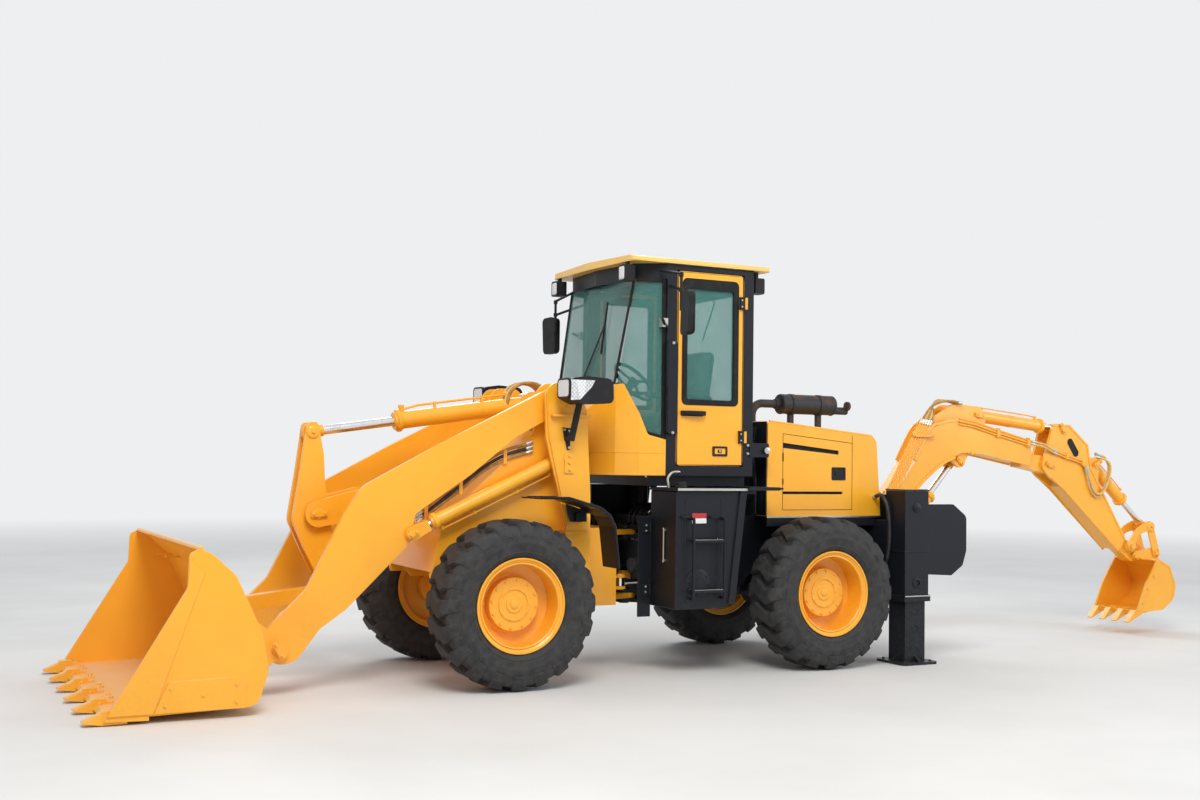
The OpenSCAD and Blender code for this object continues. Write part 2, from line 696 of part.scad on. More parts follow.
// HOOD, ENGINE AND MUFFLER
hood_rows = [
    [92, deck_z + seat_gap, 0], [86, 1938, 40], [-947, 1840, 30], [-997, 1776, 30],
    [-1040, deck_z + seat_gap, 0]
];
module hood() {
    color(YELLOW) placed() difference() {
        side_plate(hood_rows, 0, 2 * hood_hw);
        side_plate([
            [92 - hood_t, deck_z - 1, 0], [86 - hood_t, 1938 - hood_t, 30], [-947, 1840 - hood_t, 20],
            [-997 + hood_t, 1776, 20], [-1040 + hood_t, deck_z - 1, 0]
        ], 0, 2 * (hood_hw - hood_t));
        // Slots in the sides and openings in the rear grille
        for (row = [[-60, 1718, 1760, -610, 1672, 1704], [-60, 1350, 1372, -650, 1350, 1372]])
            side(0, 2 * hood_hw + 2) polygon([[row[0], row[1]], [row[0], row[2]], [row[3], row[5]],
                [row[3], row[4]]]);
        for (i = [0 : 5]) box([-1100, -400, 1270 + i * 75], [-950, 400, 1305 + i * 75]);
    }
}
// Height of the hood's top at x
function hood_top(x) = 1938 + (x - 86) * (1938 - 1840) / (86 + 947);
module engine_block() {
    color(GREY) placed() box([-850, -300, deck_z + seat_gap], [-50, 300, deck_z + 560]);
}
module muffler() {
    y = 250;
    z = 2085;
    color(GREY) placed() {
        translate([-775, y, z]) rotate([0, 90, 0]) cylinder(r = muffler_r, h = 520);
        for (x = [-660, -380]) translate([x, y, z]) rotate([0, 90, 0]) cylinder(r = muffler_r + 7, h = 40);
        translate([-930, y, z - 40]) rotate([0, 90, 0]) cylinder(r = 32, h = 170);
        translate([-256, y, z]) rotate([0, 90, 0]) cylinder(r = 34, h = 180);
        translate([-76, y, z - 100]) rotate([90, 0, 0]) rotate_extrude(angle = 90) translate([100,
            0]) circle(r = 34);
        bar_z(24, y, 34, hood_top(58) + seat_gap, z - 100);
        for (x = [-660, -380]) side(y, 40) polygon([
            [x, hood_top(x) + 1], [x + 40, hood_top(x + 40) + 1], [x + 40, z - muffler_r], [x,
                z - muffler_r]]);
    }
}

// FRONT FRAME
front_back_x = hinge_x + 260;
tower_in = arm_y - tower_gap / 2;
tower_out = arm_y + tower_gap / 2;
boss_hw = tower_gap / 2 - ear_gap;
tower_rows = from_axle([
    [-705, 620, 0], [-580, 620, 0], [-500, 1060, 0], [-505, 1110, 40], [-334, 1748, 120],
    [-320, 2080, 60], [-380, 2160, 90], [-580, 2160, 90], [-660, 1960, 60], [-699, 1343, 80]
]);
wing_rows = from_axle([
    [-705, 620, 0], [-560, 620, 0], [-430, 735, 60], [465, 735, 0], [474, 765, 0], [404, 1043, 0],
    [402, 1130, 60], [-318, 1800, 120], [-320, 2080, 60], [-380, 2160, 90], [-580, 2160, 90], [-660,
        1960, 60], [-699, 1343, 80]
]);
cross_tube_r = 50;
module front_frame() {
    plate_y = front_frame_hw - frame_t / 2;
    color(YELLOW) placed() {
        difference() {
            union() {
                copy_y() {
                    side_plate([
                        [front_back_x, 500, 0], [front_axle_x - 480, 500, 60], [front_axle_x - 320, 700,
                            60], [front_axle_x + 340, 700, 40],
                        [front_axle_x + 380, 760, 0], [front_axle_x + 380, 900, 0],
                        [front_axle_x + 220, 980, 60], [front_back_x, 1090, 0]
                    ], plate_y, frame_t);
                    side_plate(tower_rows, tower_out + tower_t / 2, tower_t);
                    side_plate(wing_rows, tower_in - tower_t / 2, tower_t);
                    // Webs between the chassis and the tower's plates
                    for (x = [front_axle_x - 700, front_axle_x - 610])
                        box([x, plate_y, 620], [x + 25, tower_out + tower_t / 2, 1050]);
                    box([front_axle_x - 700, plate_y, 1050], [front_axle_x - 530,
                        tower_out + tower_t / 2, 1072]);
                    // Saddles on the axle
                    box([front_axle_x - 130, 250, axle_z], [front_axle_x + 130, 420, 712]);
                    // Lift cylinder's pin and the boom's pin
                    bar_y(lift_base, pin_r, tower_in - tower_t - pin_head, tower_out + tower_t + pin_head);
                    bar_y(boom_pivot, pin_r, tower_in - tower_t, tower_out + tower_t + pin_head);
                }
                bar_y(boom_pivot, cross_tube_r, -tower_in + 1, tower_in - 1);
                // Bent plate between the towers
                side_plate(from_axle([
                    [-345, 1800, 0], [388, 1118, 0], [392, 1042, 0], [455, 792, 0], [467, 792, 0], [404,
                        1043, 0], [402, 1126, 0], [-333, 1810, 0]
                ]), 0, 2 * tower_in - tower_t);
                // Cross plates
                for (x = [front_back_x, front_axle_x + 190])
                    box([x, -plate_y, x < front_axle_x ? 500 : 712], [x + 25, plate_y,
                        x < front_axle_x ? 1088 : 960]);
                box([front_back_x, -plate_y, 1066], [front_back_x + 400, plate_y, 1086]);
                for (z = [hinge_low_z, hinge_top_z])
                    hinge_lug(front_back_x + 10, 200, z - lug_t / 2, lug_t);
                // Ears of the steering cylinders
                copy_y() for (z = [steer_z - 53, steer_z + 33])
                    translate([0, 0, z]) linear_extrude(20) {
                        translate(steer_eye) circle(r = 42);
                        polygon([[steer_eye.x, steer_eye.y - 42], [front_back_x + 5, steer_eye.y - 70],
                            [front_back_x + 5, steer_eye.y + 60], [steer_eye.x, steer_eye.y + 42]]);
                    }
            }
            copy_y() bar_y([front_axle_x, axle_z], axle_r + seat_gap, 240, 430);
            for (z = [hinge_low_z, hinge_top_z])
                bar_z(hinge_x, 0, hinge_pin_r + pin_gap, z - lug_t, z + lug_t);
        }
        copy_y() for (z = [steer_z - 61, steer_z + 53]) bar_z(steer_eye.x, steer_eye.y, steer_pin_r, z,
            z + 8);
    }
}
module front_axle() {
    color(YELLOW) placed() axle(front_axle_x);
}

module front_fenders() {
    // Thin curved guard over and behind the tyre; its inner strip stops short of the tank
    guard = from_axle([
        [-135, 1332, 0], [-352, 1332, 0], [-600, 1262, 0], [-680, 1205, 0], [-722, 1130, 0], [-760, 829, 0],
        [-750, 828, 0], [-713, 1125, 0], [-673, 1196, 0], [-594, 1252, 0], [-350, 1322, 0], [-135, 1322, 0]
    ]);
    strip = from_axle([
        [-135, 1332, 0], [-352, 1332, 0], [-600, 1262, 0], [-665, 1217, 0], [-659, 1208, 0], [-594, 1252,
            0], [-350, 1322, 0],
        [-135, 1322, 0]
    ]);
    x0 = front_axle_x - 650;
    color(BLACK) placed() copy_y() {
        side_plate(guard, (735 + fender_out_y) / 2, fender_out_y - 735);
        side_plate(strip, (tower_out + tower_t + 22 + 735) / 2, 735 - tower_out - tower_t - 22);
        box([x0 + 10, tower_out + tower_t + seat_gap, 1150], [x0 + 110, 650, 1200]);
        side_plate([[x0, 1225, 0], [x0 + 60, 1245, 0], [x0 + 170, 1282, 0], [x0 + 130, 1150, 0], [x0,
            1150, 0]], 655, 16);
    }
}
fender_out_y = 980;

module headlamps() {
    arm_x = front_axle_x - 500;
    color(BLACK) placed() copy_y() {
        side_plate(from_axle([[-736, 2010, 40], [-480, 2000, 20], [-388, 2040, 20], [-388, 2180, 40],
            [-520, 2200, 60], [-730, 2185, 50]]),
            800, 200);
        rod_between([arm_x, tower_out + tower_t + seat_gap, 1760], [arm_x, 690, 1760], 24);
        rod_between([arm_x, 690, 1740], [arm_x - 30, 760, 2020], 24);
    }
}

// LOADER ARMS
arm_rows = from_axle([
    [-450, 2149, 60], [457, 1696, 300], [1009, 1399, 200], [1137, 1207, 120], [1386, 705, 160],
    [1663, 434, 80], [1609, 201, 90], [1446, 233, 120], [1288, 441, 120], [1106, 568, 200],
    [661, 1008, 120], [632, 1204, 80], [213, 1486, 120], [-130, 1761, 200], [-400, 1903, 90],
    [-550, 2000, 60]
]);
arm_tube = [front_axle_x + 845, 1262];
arm_tube_r = 72;
bell_hw = 80;
module loader_boom() {
    color(YELLOW) placed() {
        difference() {
            union() {
                copy_y() {
                    side_plate(arm_rows, arm_y, arm_t);
                    bar_y(boom_pivot, 100, arm_y - boss_hw, arm_y + boss_hw);
                    side(arm_y, arm_t) {
                        translate(lift_pin) circle(r = 48);
                        polygon([lift_pin + [-10, 47], lift_pin + [60, 120], lift_pin + [80, -80],
                            lift_pin + [-10, -47]]);
                    }
                    // Bracket plates that carry the bellcrank
                    side(bell_hw + 40, 30) {
                        translate(bell_pivot) circle(r = 95);
                        translate(arm_tube) circle(r = arm_tube_r + 45);
                        polygon([arm_tube + [20, 115], bell_pivot + [15, 93], bell_pivot + [-35, -88],
                            arm_tube + [-20, -115]]);
                    }
                    bar_y(bell_pivot, pin_r, bell_hw + 30, bell_hw + 55 + pin_head);
                }
                bar_y(arm_tube, arm_tube_r, -arm_y, arm_y);
            }
            copy_y() {
                bar_y(boom_pivot, pin_r + pin_gap, arm_y - boss_hw - 1, arm_y + boss_hw + 1);
                bar_y(bucket_pin, pin_r + pin_gap, arm_y - arm_t, arm_y + arm_t);
            }
        }
        bar_y(bell_pivot, pin_r, -bell_hw - 55, bell_hw + 55);
    }
}

// Lift cylinders: the barrels turn on the towers, the rods' forks stand over the arms' lugs
lift_gland = 1120;
lift_len = norm(lift_pin - lift_base);
fork_gap = arm_t + 12;
fork_t = 20;
module lift_barrels() {
    color(YELLOW) placed() copy_y() along(lift_base, lift_pin, arm_y)
        barrel(lift_barrel_r, lift_rod_r, lift_gland, 68, 2 * boss_hw - 16, pin_r, 1040);
}
module lift_rods() {
    crotch = 115;
    color(STEEL) placed() copy_y() along(lift_pin, lift_base, arm_y) {
        for (s = [-1, 1]) {
            side(s * (fork_gap + fork_t) / 2, fork_t) {
                circle(r = 50);
                polygon([[0, -50], [crotch + 22, -40], [crotch + 22, 40], [0, 50]]);
            }
            bar_y([0, 0], pin_r, s > 0 ? fork_gap / 2 + fork_t - 1 : -fork_gap / 2 - fork_t - pin_head,
                s > 0 ? fork_gap / 2 + fork_t + pin_head : -fork_gap / 2 - fork_t + 1);
        }
        box([crotch, -fork_gap / 2 - 1, -40], [crotch + 22, fork_gap / 2 + 1, 40]);
        translate([crotch + 10, 0, 0]) rotate([0, 90, 0]) cylinder(r = lift_rod_r, h = 600);
    }
}

// Tilt cylinder over the middle; its barrel turns on the towers' cross tube
tilt_gland = 1100;
tilt_len = norm(bell_top - boom_pivot);
module tilt_barrel() {
    color(YELLOW) placed() along(boom_pivot, bell_top) difference() {
        barrel(tilt_barrel_r, tilt_rod_r, tilt_gland, 92, 130, cross_tube_r, 960);
        // The gland's nut stays clear of the rod
        translate([tilt_gland - 20, 0, 0]) rotate([0, 90, 0]) cylinder(r = tilt_rod_r + 2, h = 30);
    }
}
module tilt_rod() {
    color(STEEL) placed() along(bell_top, boom_pivot)
        mirror([1, 0, 0]) rod(tilt_rod_r, tilt_len - tilt_gland + 420, 62, 2 * bell_hw - 86);
}

bell_rows = from_axle([
    [1278, 1838, 32], [1200, 1845, 32], [1152, 1609, 60], [1141, 1431, 100], [1100, 1150, 80],
    [995, 700, 60], [1005, 595, 34], [1080, 605, 34], [1194, 778, 120], [1281, 949, 100],
    [1372, 1147, 120], [1320, 1500, 150]
]);
module bellcrank() {
    color(YELLOW) placed() difference() {
        union() {
            copy_y() side_plate(bell_rows, bell_hw - 17, 34);
            bar_y(bell_pivot, 78, -bell_hw - 20, bell_hw + 20);
            copy_y() bar_y(bell_top, pin_r, bell_hw - 1, bell_hw + pin_head);
            bar_y(bell_low, pin_r - 3, -bell_hw - pin_head, bell_hw + pin_head);
        }
        bar_y(bell_pivot, pin_r + pin_gap, -bell_hw - 30, bell_hw + 30);
    }
}
// The link turns on the bellcrank's lower pin; its other eye stands between the bucket's ears
link_hw = bell_hw - 37;
module bucket_link() {
    color(YELLOW) placed() difference() {
        side(0, 2 * link_hw) {
            translate(bell_low) circle(r = 58);
            translate(link_pin) circle(r = 58);
            polygon([bell_low + [-6, -50], link_pin + [-6, -50], link_pin + [6, 50], bell_low + [6, 50]]);
        }
        bar_y(bell_low, pin_r - 3 + pin_gap, -60, 60);
    }
}

// LOADER BUCKET
bucket_back = from_axle([
    [2206, 1033, 0], [2127, 992, 60], [1986, 862, 120], [1818, 508, 200], [1773, 281, 150], [1837, 61, 90]
]);
bucket_lip = [front_axle_x + 2723, 39];
bucket_room = concat(from_axle([[2443, 1156, 0]]), [for (i = [1 : 5]) bucket_back[i]], from_axle([[3220,
    27, 0]]));
tooth_tip = front_axle_x + 2851;
// An outline drawn counterclockwise moved inwards by t
function inset(rows, t) =
    let (m = len(rows))
    [for (i = [0 : m - 1])
        let (a = rows[(i + m - 1) % m], b = rows[i], c = rows[(i + 1) % m],
             u = unit([b.x - a.x, b.y - a.y]), w = unit([c.x - b.x, c.y - b.y]),
             n = [-u.y - w.y, u.x + w.x], k = t / (1 + u * w))
        [b.x + n.x * k, b.y + n.y * k, b[2] > t ? b[2] - t : b[2]]];
module loader_bucket() {
    ear_y = arm_t / 2 + ear_gap + 12;
    color(YELLOW) placed() {
        difference() {
            union() {
                difference() {
                    side_plate(concat(bucket_back, [[bucket_lip.x, bucket_lip.y, 0]], from_axle([[2276,
                        797, 60], [2271, 1004, 40]])),
                        0, 2 * bucket_hw);
                    side_plate(inset(bucket_room, bucket_t),
                        0, 2 * (bucket_hw - bucket_t));
                }
                // Ears for the arms and for the link
                copy_y() for (y = [arm_y - ear_y, arm_y + ear_y])
                    side(y, 24) {
                        translate(bucket_pin) circle(r = 82);
                        polygon([for (q = [[-20, 80], [330, 320], [212, 80], [200, -120], [255, -245],
                            [20, -80]]) bucket_pin + q]);
                    }
                copy_y() side(link_hw + 16, 26) {
                    translate(link_pin) circle(r = 66);
                    polygon([for (q = [[-30, 58], [310, 315], [190, 75], [112, -85], [65, -205], [-30,
                        -58]]) link_pin + q]);
                }
            }
            // Nothing of the ears stands into the bucket
            side_plate(inset(bucket_room, bucket_t - 0.5),
                0, 2 * (bucket_hw - bucket_t) - 2);
        }
        copy_y() {
            bar_y(bucket_pin, pin_r, arm_y - ear_y - 12 - pin_head, arm_y + ear_y + 12 + pin_head);
            bar_y(link_pin, pin_r - 3, link_hw + 28, link_hw + 29 + pin_head);
        }
        // Cutting edge and teeth
        side(0, 2 * bucket_hw) polygon([for (q = [[-243, 20], [10, 26], [0, 42], [-243,
            56]]) [bucket_lip.x + q.x, q.y]]);
        for (i = [0 : tooth_count - 1])
            side(-bucket_hw + 60 + i * (2 * bucket_hw - 120) / (tooth_count - 1), 84)
                polygon([for (q = [[-251, 8], [-111, 6], [0, 22], [0, 30], [-106, 72], [-231, 74], [-231,
                    44], [-251, 40]]) [tooth_tip + q.x, q.y]]);
    }
}

// BACKHOE FRAME AND STABILISERS
swing_x = -swing_back;
post_low_z = 690;
post_top_z = 900;
post_gap_z = 3;
post_r = 78;
swing_pin_r = 40;
sleeve_x = -1113;
sleeve_y = stab_hw - sleeve_w / 2;
sleeve_low_z = 500;
sleeve_top_z = 1388;
wing_in_y = 915;
box_front_x = frame_back_x - seat_gap;
box_back_x = -1180;
module square_tube(x, y, w, t, z0, z1) {
    translate([x, y, z0]) linear_extrude(z1 - z0) difference() {
        square(w, center = true);
        square(w - 2 * t, center = true);
    }
}
module backhoe_frame() {
    color(BLACK) placed() {
        difference() {
            union() {
                // Cross beam between the sleeves
                box([box_back_x, -sleeve_y + 100, 620], [box_front_x, sleeve_y - 100, 1140]);
                box([box_back_x, -sleeve_y + 100, 1130], [-1076, sleeve_y - 100, 1350]);
                copy_y() {
                    translate([sleeve_x, sleeve_y, sleeve_low_z + 45])
                        linear_extrude(sleeve_top_z - sleeve_low_z - 45) square(sleeve_w, center = true);
                    translate([sleeve_x, sleeve_y,
                        sleeve_low_z]) linear_extrude(50) square(sleeve_w + 24, center = true);
                    // Side wings behind the sleeves
                    side_plate([
                        [sleeve_x, 720, 0], [-1480, 700, 0], [-1600, 780, 40], [-1640, 900, 60], [-1640,
                            1180, 60],
                        [-1500, 1280, 40], [sleeve_x - 100, 1280, 0], [sleeve_x, 1190, 0]
                    ], wing_in_y + 15, 30);
                }
            }
            copy_y() {
                // Room for the legs
                translate([sleeve_x, sleeve_y, sleeve_low_z + 45])
                    linear_extrude(sleeve_top_z - 57 - sleeve_low_z) square(sleeve_w - 2 * sleeve_t,
                        center = true);
                // The collar guides the leg
                translate([sleeve_x, sleeve_y, sleeve_low_z - 1]) linear_extrude(50)
                    square(sleeve_w - 2 * sleeve_t - 2 * leg_gap + 2 * seat_gap, center = true);
                for (z = [647, 1252]) bar_y([sleeve_x, z], 27, sleeve_y, stab_hw + 20);
            }
        }
    }
}
// The two lugs on the cross beam, with the pin that the post swings on
swing_lug_t = 50;
module swing_lugs() {
    color(BLACK) placed() {
        for (z = [post_low_z - post_gap_z - swing_lug_t, post_top_z + post_gap_z])
            translate([0, 0, z]) linear_extrude(swing_lug_t) {
                translate([swing_x, 0]) circle(r = 100);
                polygon([[box_back_x - seat_gap, -190], [swing_x + 140, -98], [swing_x, -98], [swing_x, 98],
                    [swing_x + 140, 98], [box_back_x - seat_gap, 190]]);
            }
        bar_z(swing_x, 0, swing_pin_r, post_low_z - post_gap_z - swing_lug_t - pin_head,
            post_top_z + post_gap_z + swing_lug_t + pin_head);
    }
}
module stabiliser(flip) {
    leg_w = sleeve_w - 2 * sleeve_t - 2 * leg_gap;
    color(BLACK) placed() mirror([0, flip, 0]) difference() {
        union() {
            square_tube(sleeve_x, sleeve_y, leg_w, 12, 10, 935);
            translate([sleeve_x, sleeve_y, 0]) linear_extrude(20)
                polygon(rounded([[-180, -180, 40], [180, -180, 40], [180, 180, 40], [-180, 180, 40]]));
            for (a = [0 : 90 : 270]) translate([sleeve_x, sleeve_y, 0]) rotate([0, 0, a])
                side_plate([[leg_w / 2 - 2, 15, 0], [170, 15, 0], [leg_w / 2 - 2, 70, 0]], 0, 12);
        }
        bar_y([sleeve_x, 283], 27, sleeve_y, stab_hw + 20);
    }
}

// SWING POST
module swing_post() {
    color(BLACK) placed() {
        difference() {
            union() {
                bar_z(swing_x, 0, post_r, post_low_z, post_top_z);
                box([swing_x - 150, -bh_boom_hw - 3, post_low_z + 15], [swing_x - 30, bh_boom_hw + 3,
                    post_top_z - 15]);
                copy_y() {
                    // Ears of the boom's foot
                    side_plate([
                        [swing_x - 75, post_low_z + 15, 0], [swing_x - 75, 972, 10], [swing_x - 5, 1030, 40],
                        [swing_x - 5, 1200, 60], [swing_x - 90, 1232, 90], [swing_x - 185, 1200, 60],
                        [swing_x - 185, 1000, 60], [swing_x - 150, post_low_z + 15, 0]
                    ], bh_boom_hw + ear_gap + 12, 24);
                    bar_y(boom_foot, bh_pin_r + 4, bh_boom_hw + ear_gap + 23,
                        bh_boom_hw + ear_gap + 24 + pin_head);
                    // Ears of the boom cylinder
                    side(bh_cyl_hw + ear_gap + 12, 24) {
                        translate(boom_cyl_base) circle(r = 58);
                        polygon([boom_cyl_base + [-10, -57], [swing_x - 60, post_low_z + 15],
                            [swing_x - 60, post_top_z - 15],
                            boom_cyl_base + [20, 55]]);
                    }
                }
            }
            bar_z(swing_x, 0, swing_pin_r + pin_gap, post_low_z - 1, post_top_z + 1);
            // Room for the cylinder's eye
            box([swing_x - 300, -bh_cyl_hw - ear_gap, post_low_z], [boom_cyl_base.x + 78,
                bh_cyl_hw + ear_gap, post_top_z + 1]);
        }
        bar_y(boom_foot, bh_pin_r + 4, -bh_boom_hw - 4, bh_boom_hw + 4);
        bar_y(boom_cyl_base, bh_pin_r, -bh_cyl_hw - ear_gap - 24 - pin_head,
            bh_cyl_hw + ear_gap + 24 + pin_head);
    }
}
bh_cyl_hw = bh_barrel_r * 1.1 + 1.5;

// BACKHOE BOOM
boom_rows = [
    [-1380, 1100, 90], [-1560, 1040, 90], [-1814, 1389, 200], [-2148, 1633, 200], [-2326, 1713, 100],
    [-2557, 1717, 200], [-3033, 1643, 0], [-3150, 1622, 0], [-3150, 1830, 0], [-3249, 1808, 0]
];
nose_hw = 60;
module backhoe_boom() {
    belly_y = bh_cyl_hw + ear_gap + 14;
    color(YELLOW) placed() {
        difference() {
            union() {
                side_plate([
                    [-1500, 1245, 90], [-1372, 1200, 90], [-1370, 1050, 90], [-1540, 1030, 60], [-1814,
                        1389, 160],
                    [-2148, 1633, 200], [-2326, 1713, 120], [-2557, 1717, 200], [-3150, 1618, 30],
                    [-3180, 1740, 30], [-3150, 1832, 30], [-2453, 1991, 200], [-2222, 2004, 200],
                    [-1972, 1929, 120], [-1800, 1640, 300]
                ], 0, 2 * bh_boom_hw);
                // Nose inside the dipper's cheeks
                side(0, 2 * nose_hw) {
                    translate(dipper_pivot) circle(r = 84);
                    polygon([[-3090, 1595], [-3090, 1735], [-3260, 1712], dipper_pivot + [5, 84],
                        dipper_pivot + [-10, -83]]);
                }
                copy_y() {
                    // Hump plates that carry the dipper cylinder
                    side_plate([
                        [-1957, 1900, 0], [-1990, 2000, 60], [-2258, 2155, 150], [-2580, 2140, 70],
                            [-2650, 2050, 70], [-2640, 1950, 0]
                    ], bh_cyl_hw + ear_gap + 10, 20);
                    // Belly ears of the boom cylinder
                    side(belly_y, 28) {
                        translate(boom_cyl_pin) circle(r = 60);
                        polygon([[-2180, 1680], [-2460, 1740], boom_cyl_pin + [-42, -42],
                            boom_cyl_pin + [42, -42]]);
                    }
                    bar_y(boom_cyl_pin, bh_pin_r, belly_y + 13, belly_y + 14 + pin_head);
                }
                bar_y(dipper_cyl_base, bh_pin_r, -bh_cyl_hw - ear_gap - 20 - pin_head,
                    bh_cyl_hw + ear_gap + 20 + pin_head);
            }
            bar_y(boom_foot, bh_pin_r + 4 + pin_gap, -bh_boom_hw - 1, bh_boom_hw + 1);
            bar_y(dipper_pivot, bh_pin_r + 4 + pin_gap, -nose_hw - 1, nose_hw + 1);
            // Channel in the top that the dipper cylinder drops into
            side_plate([[-2740, 1960, 0], [-2790, 1915, 0], [-3160, 1762, 0], [-3400, 1700, 0], [-3400,
                1960, 0]],
                0, 2 * (bh_cyl_hw + ear_gap));
            // Pocket in the belly for the boom cylinder's rod end
            box([-2480, -belly_y + 14, 1500], [-2190, belly_y - 14, 1740]);
        }
    }
}

// DIPPER
tail_hw = 58;
module dipper() {
    color(YELLOW) placed() {
        difference() {
            union() {
                // Box beam behind the boom's nose
                difference() {
                    side_plate([
                        [-3440, 1500, 80], [-3330, 1600, 80], [-3400, 1740, 60], [-3480, 1985, 50],
                            [-3692, 1989, 70],
                        [-3928, 1803, 90], [-3960, 1600, 100], [-4430, 900, 60], [-4350, 780, 60],
                            [-3620, 1400, 300]
                    ], 0, 2 * bh_dipper_hw);
                    // Slot between the cheeks for the boom's nose and the cylinder's rod end
                    box([-3600, -nose_hw - 4, 1300], [-3200, nose_hw + 4, 2100]);
                    bar_y(dipper_pivot, 190, -nose_hw - 4, nose_hw + 4);
                    side_plate([[-3400, 1790, 0], [-3640, 1790, 0], [-3760, 1850, 0], [-3760, 2100, 0],
                        [-3400, 2100, 0]],
                        0, 2 * nose_hw + 8);
                }
                side_plate([
                    [-4300, 1020, 0], [-4460, 905, 40], [-4555, 870, 30], [-4630, 770, 40], [-4600, 690,
                        40], [-4540, 690, 40],
                    [-4300, 860, 0]
                ], 0, 2 * tail_hw);
                // Boss of the bucket's rocker
                bar_y(rocker_pivot, 52, -bh_dipper_hw, bh_dipper_hw);
                bar_y(rocker_pivot, bh_pin_r, -rocker_y - 12 - pin_head, rocker_y + 12 + pin_head);
                bar_y(dipper_pivot, bh_pin_r + 4, -bh_dipper_hw - pin_head, bh_dipper_hw + pin_head);
                copy_y() {
                    side(bh_cyl_hw + ear_gap + 10, 20) {
                        translate(bucket_cyl_base) circle(r = 56);
                        polygon([bucket_cyl_base + [40, 40], [-3930, 1700], [-3940, 1560], [-4080, 1420],
                            bucket_cyl_base + [-40, -40]]);
                    }
                    bar_y(dipper_cyl_pin, bh_pin_r, nose_hw + 30, bh_dipper_hw + pin_head);
                }
                bar_y(bucket_cyl_base, bh_pin_r, -bh_cyl_hw - ear_gap - 20 - pin_head,
                    bh_cyl_hw + ear_gap + 20 + pin_head);
            }
            bar_y(bh_bucket_pin, bh_pin_r + pin_gap, -tail_hw - 1, tail_hw + 1);
        }
    }
}

// BACKHOE BUCKET AND ITS ROCKER
bh_ear_y = tail_hw + ear_gap + 10;
rlink_y = bh_ear_y + 10 + ear_gap + 6;
rocker_y = rlink_y + 6 + ear_gap + 8;
bh_back = [[-4684, 716, 0], [-4860, 640, 110], [-4945, 460, 140], [-4900, 320, 120], [-4755, 230, 150],
    [-4460, 220, 0]];
module backhoe_bucket() {
    cavity = inset(concat([[-4508, 792, 0]], [for (i = [1 : 4]) bh_back[i]], [[-4100, 208, 0]]), 14);
    color(YELLOW) placed() {
        difference() {
            union() {
                side_plate(concat(bh_back, [[-4400, 226, 0], [-4520, 480, 80]]), 0, 2 * bh_bucket_hw);
                copy_y() side_plate([
                    [-4545, 700, 40], [-4560, 790, 45], [-4640, 790, 30], [-4850, 822, 45], [-4920, 780,
                        45], [-4880, 600, 0],
                    [-4700, 640, 0]
                ], bh_ear_y, 20);
            }
            side_plate(cavity, 0, 2 * bh_bucket_hw - 26);
        }
        copy_y() bar_y(bh_bucket_pin, bh_pin_r, bh_ear_y, bh_ear_y + 10 + pin_head / 2);
        bar_y(bh_bucket_pin, bh_pin_r, -bh_ear_y, bh_ear_y);
        bar_y(bh_link_pin, bh_pin_r, -bh_ear_y, bh_ear_y);
        // Cutting edge and teeth
        side(0, 2 * bh_bucket_hw) polygon([[-4540, 212], [-4400, 196], [-4385, 222], [-4540, 236]]);
        for (i = [0 : bh_tooth_count - 1])
            side(-bh_bucket_hw + 36 + i * (2 * bh_bucket_hw - 72) / (bh_tooth_count - 1), 62)
                polygon([[-4470, 196], [-4297, 121], [-4293, 129], [-4390, 236], [-4470, 240]]);
    }
}
module bucket_rocker() {
    color(YELLOW) placed() {
        difference() {
            copy_y() side(rocker_y, 16) {
                translate(rocker_pivot) circle(r = 46);
                translate(rocker_top) circle(r = 46);
                polygon([rocker_pivot + [26, 38], rocker_top + [26, 38], rocker_top + [-26, -38],
                    rocker_pivot + [-26, -38]]);
            }
            bar_y(rocker_pivot, bh_pin_r + pin_gap, -rocker_y - 10, rocker_y + 10);
        }
        copy_y() bar_y(rocker_top, bh_pin_r, rlink_y - 8, rocker_y + 8 + pin_head);
    }
}
module rocker_link() {
    color(YELLOW) placed() difference() {
        copy_y() side(rlink_y, 12) {
            translate(rocker_top) circle(r = 44);
            translate(bh_link_pin) circle(r = 44);
            polygon([rocker_top + [42, -12], bh_link_pin + [42, -12], bh_link_pin + [-42, 12],
                rocker_top + [-42, 12]]);
        }
        bar_y(rocker_top, bh_pin_r + pin_gap, -rlink_y - 10, rlink_y + 10);
    }
}

// BACKHOE CYLINDERS
module cyl_barrel(a, b, gland, bore) {
    color(YELLOW) placed() along(a, b)
        barrel(bh_barrel_r, bh_rod_r, gland, 54, 2 * bh_cyl_hw, bh_pin_r, bore);
}
module cyl_rod(a, b, length, eye_hw) {
    color(STEEL) placed() along(b, a)
        mirror([1, 0, 0]) rod(bh_rod_r, length, 46, 2 * eye_hw);
}
boom_gland = 740;
dipper_gland = 850;
bucket_gland = 570;
module boom_cyl_barrel() { cyl_barrel(boom_cyl_base, boom_cyl_pin, boom_gland, 650); }
module boom_cyl_rod() { cyl_rod(boom_cyl_base, boom_cyl_pin,
    norm(boom_cyl_pin - boom_cyl_base) - boom_gland + 250, bh_cyl_hw); }
module dipper_cyl_barrel() { cyl_barrel(dipper_cyl_base, dipper_cyl_pin, dipper_gland, 760); }
module dipper_cyl_rod() { cyl_rod(dipper_cyl_base, dipper_cyl_pin,
    norm(dipper_cyl_pin - dipper_cyl_base) - dipper_gland + 600, nose_hw); }
module bucket_cyl_barrel() { cyl_barrel(bucket_cyl_base, rocker_top, bucket_gland, 490); }
module bucket_cyl_rod() { cyl_rod(bucket_cyl_base, rocker_top,
    norm(rocker_top - bucket_cyl_base) - bucket_gland + 260, bh_ear_y); }

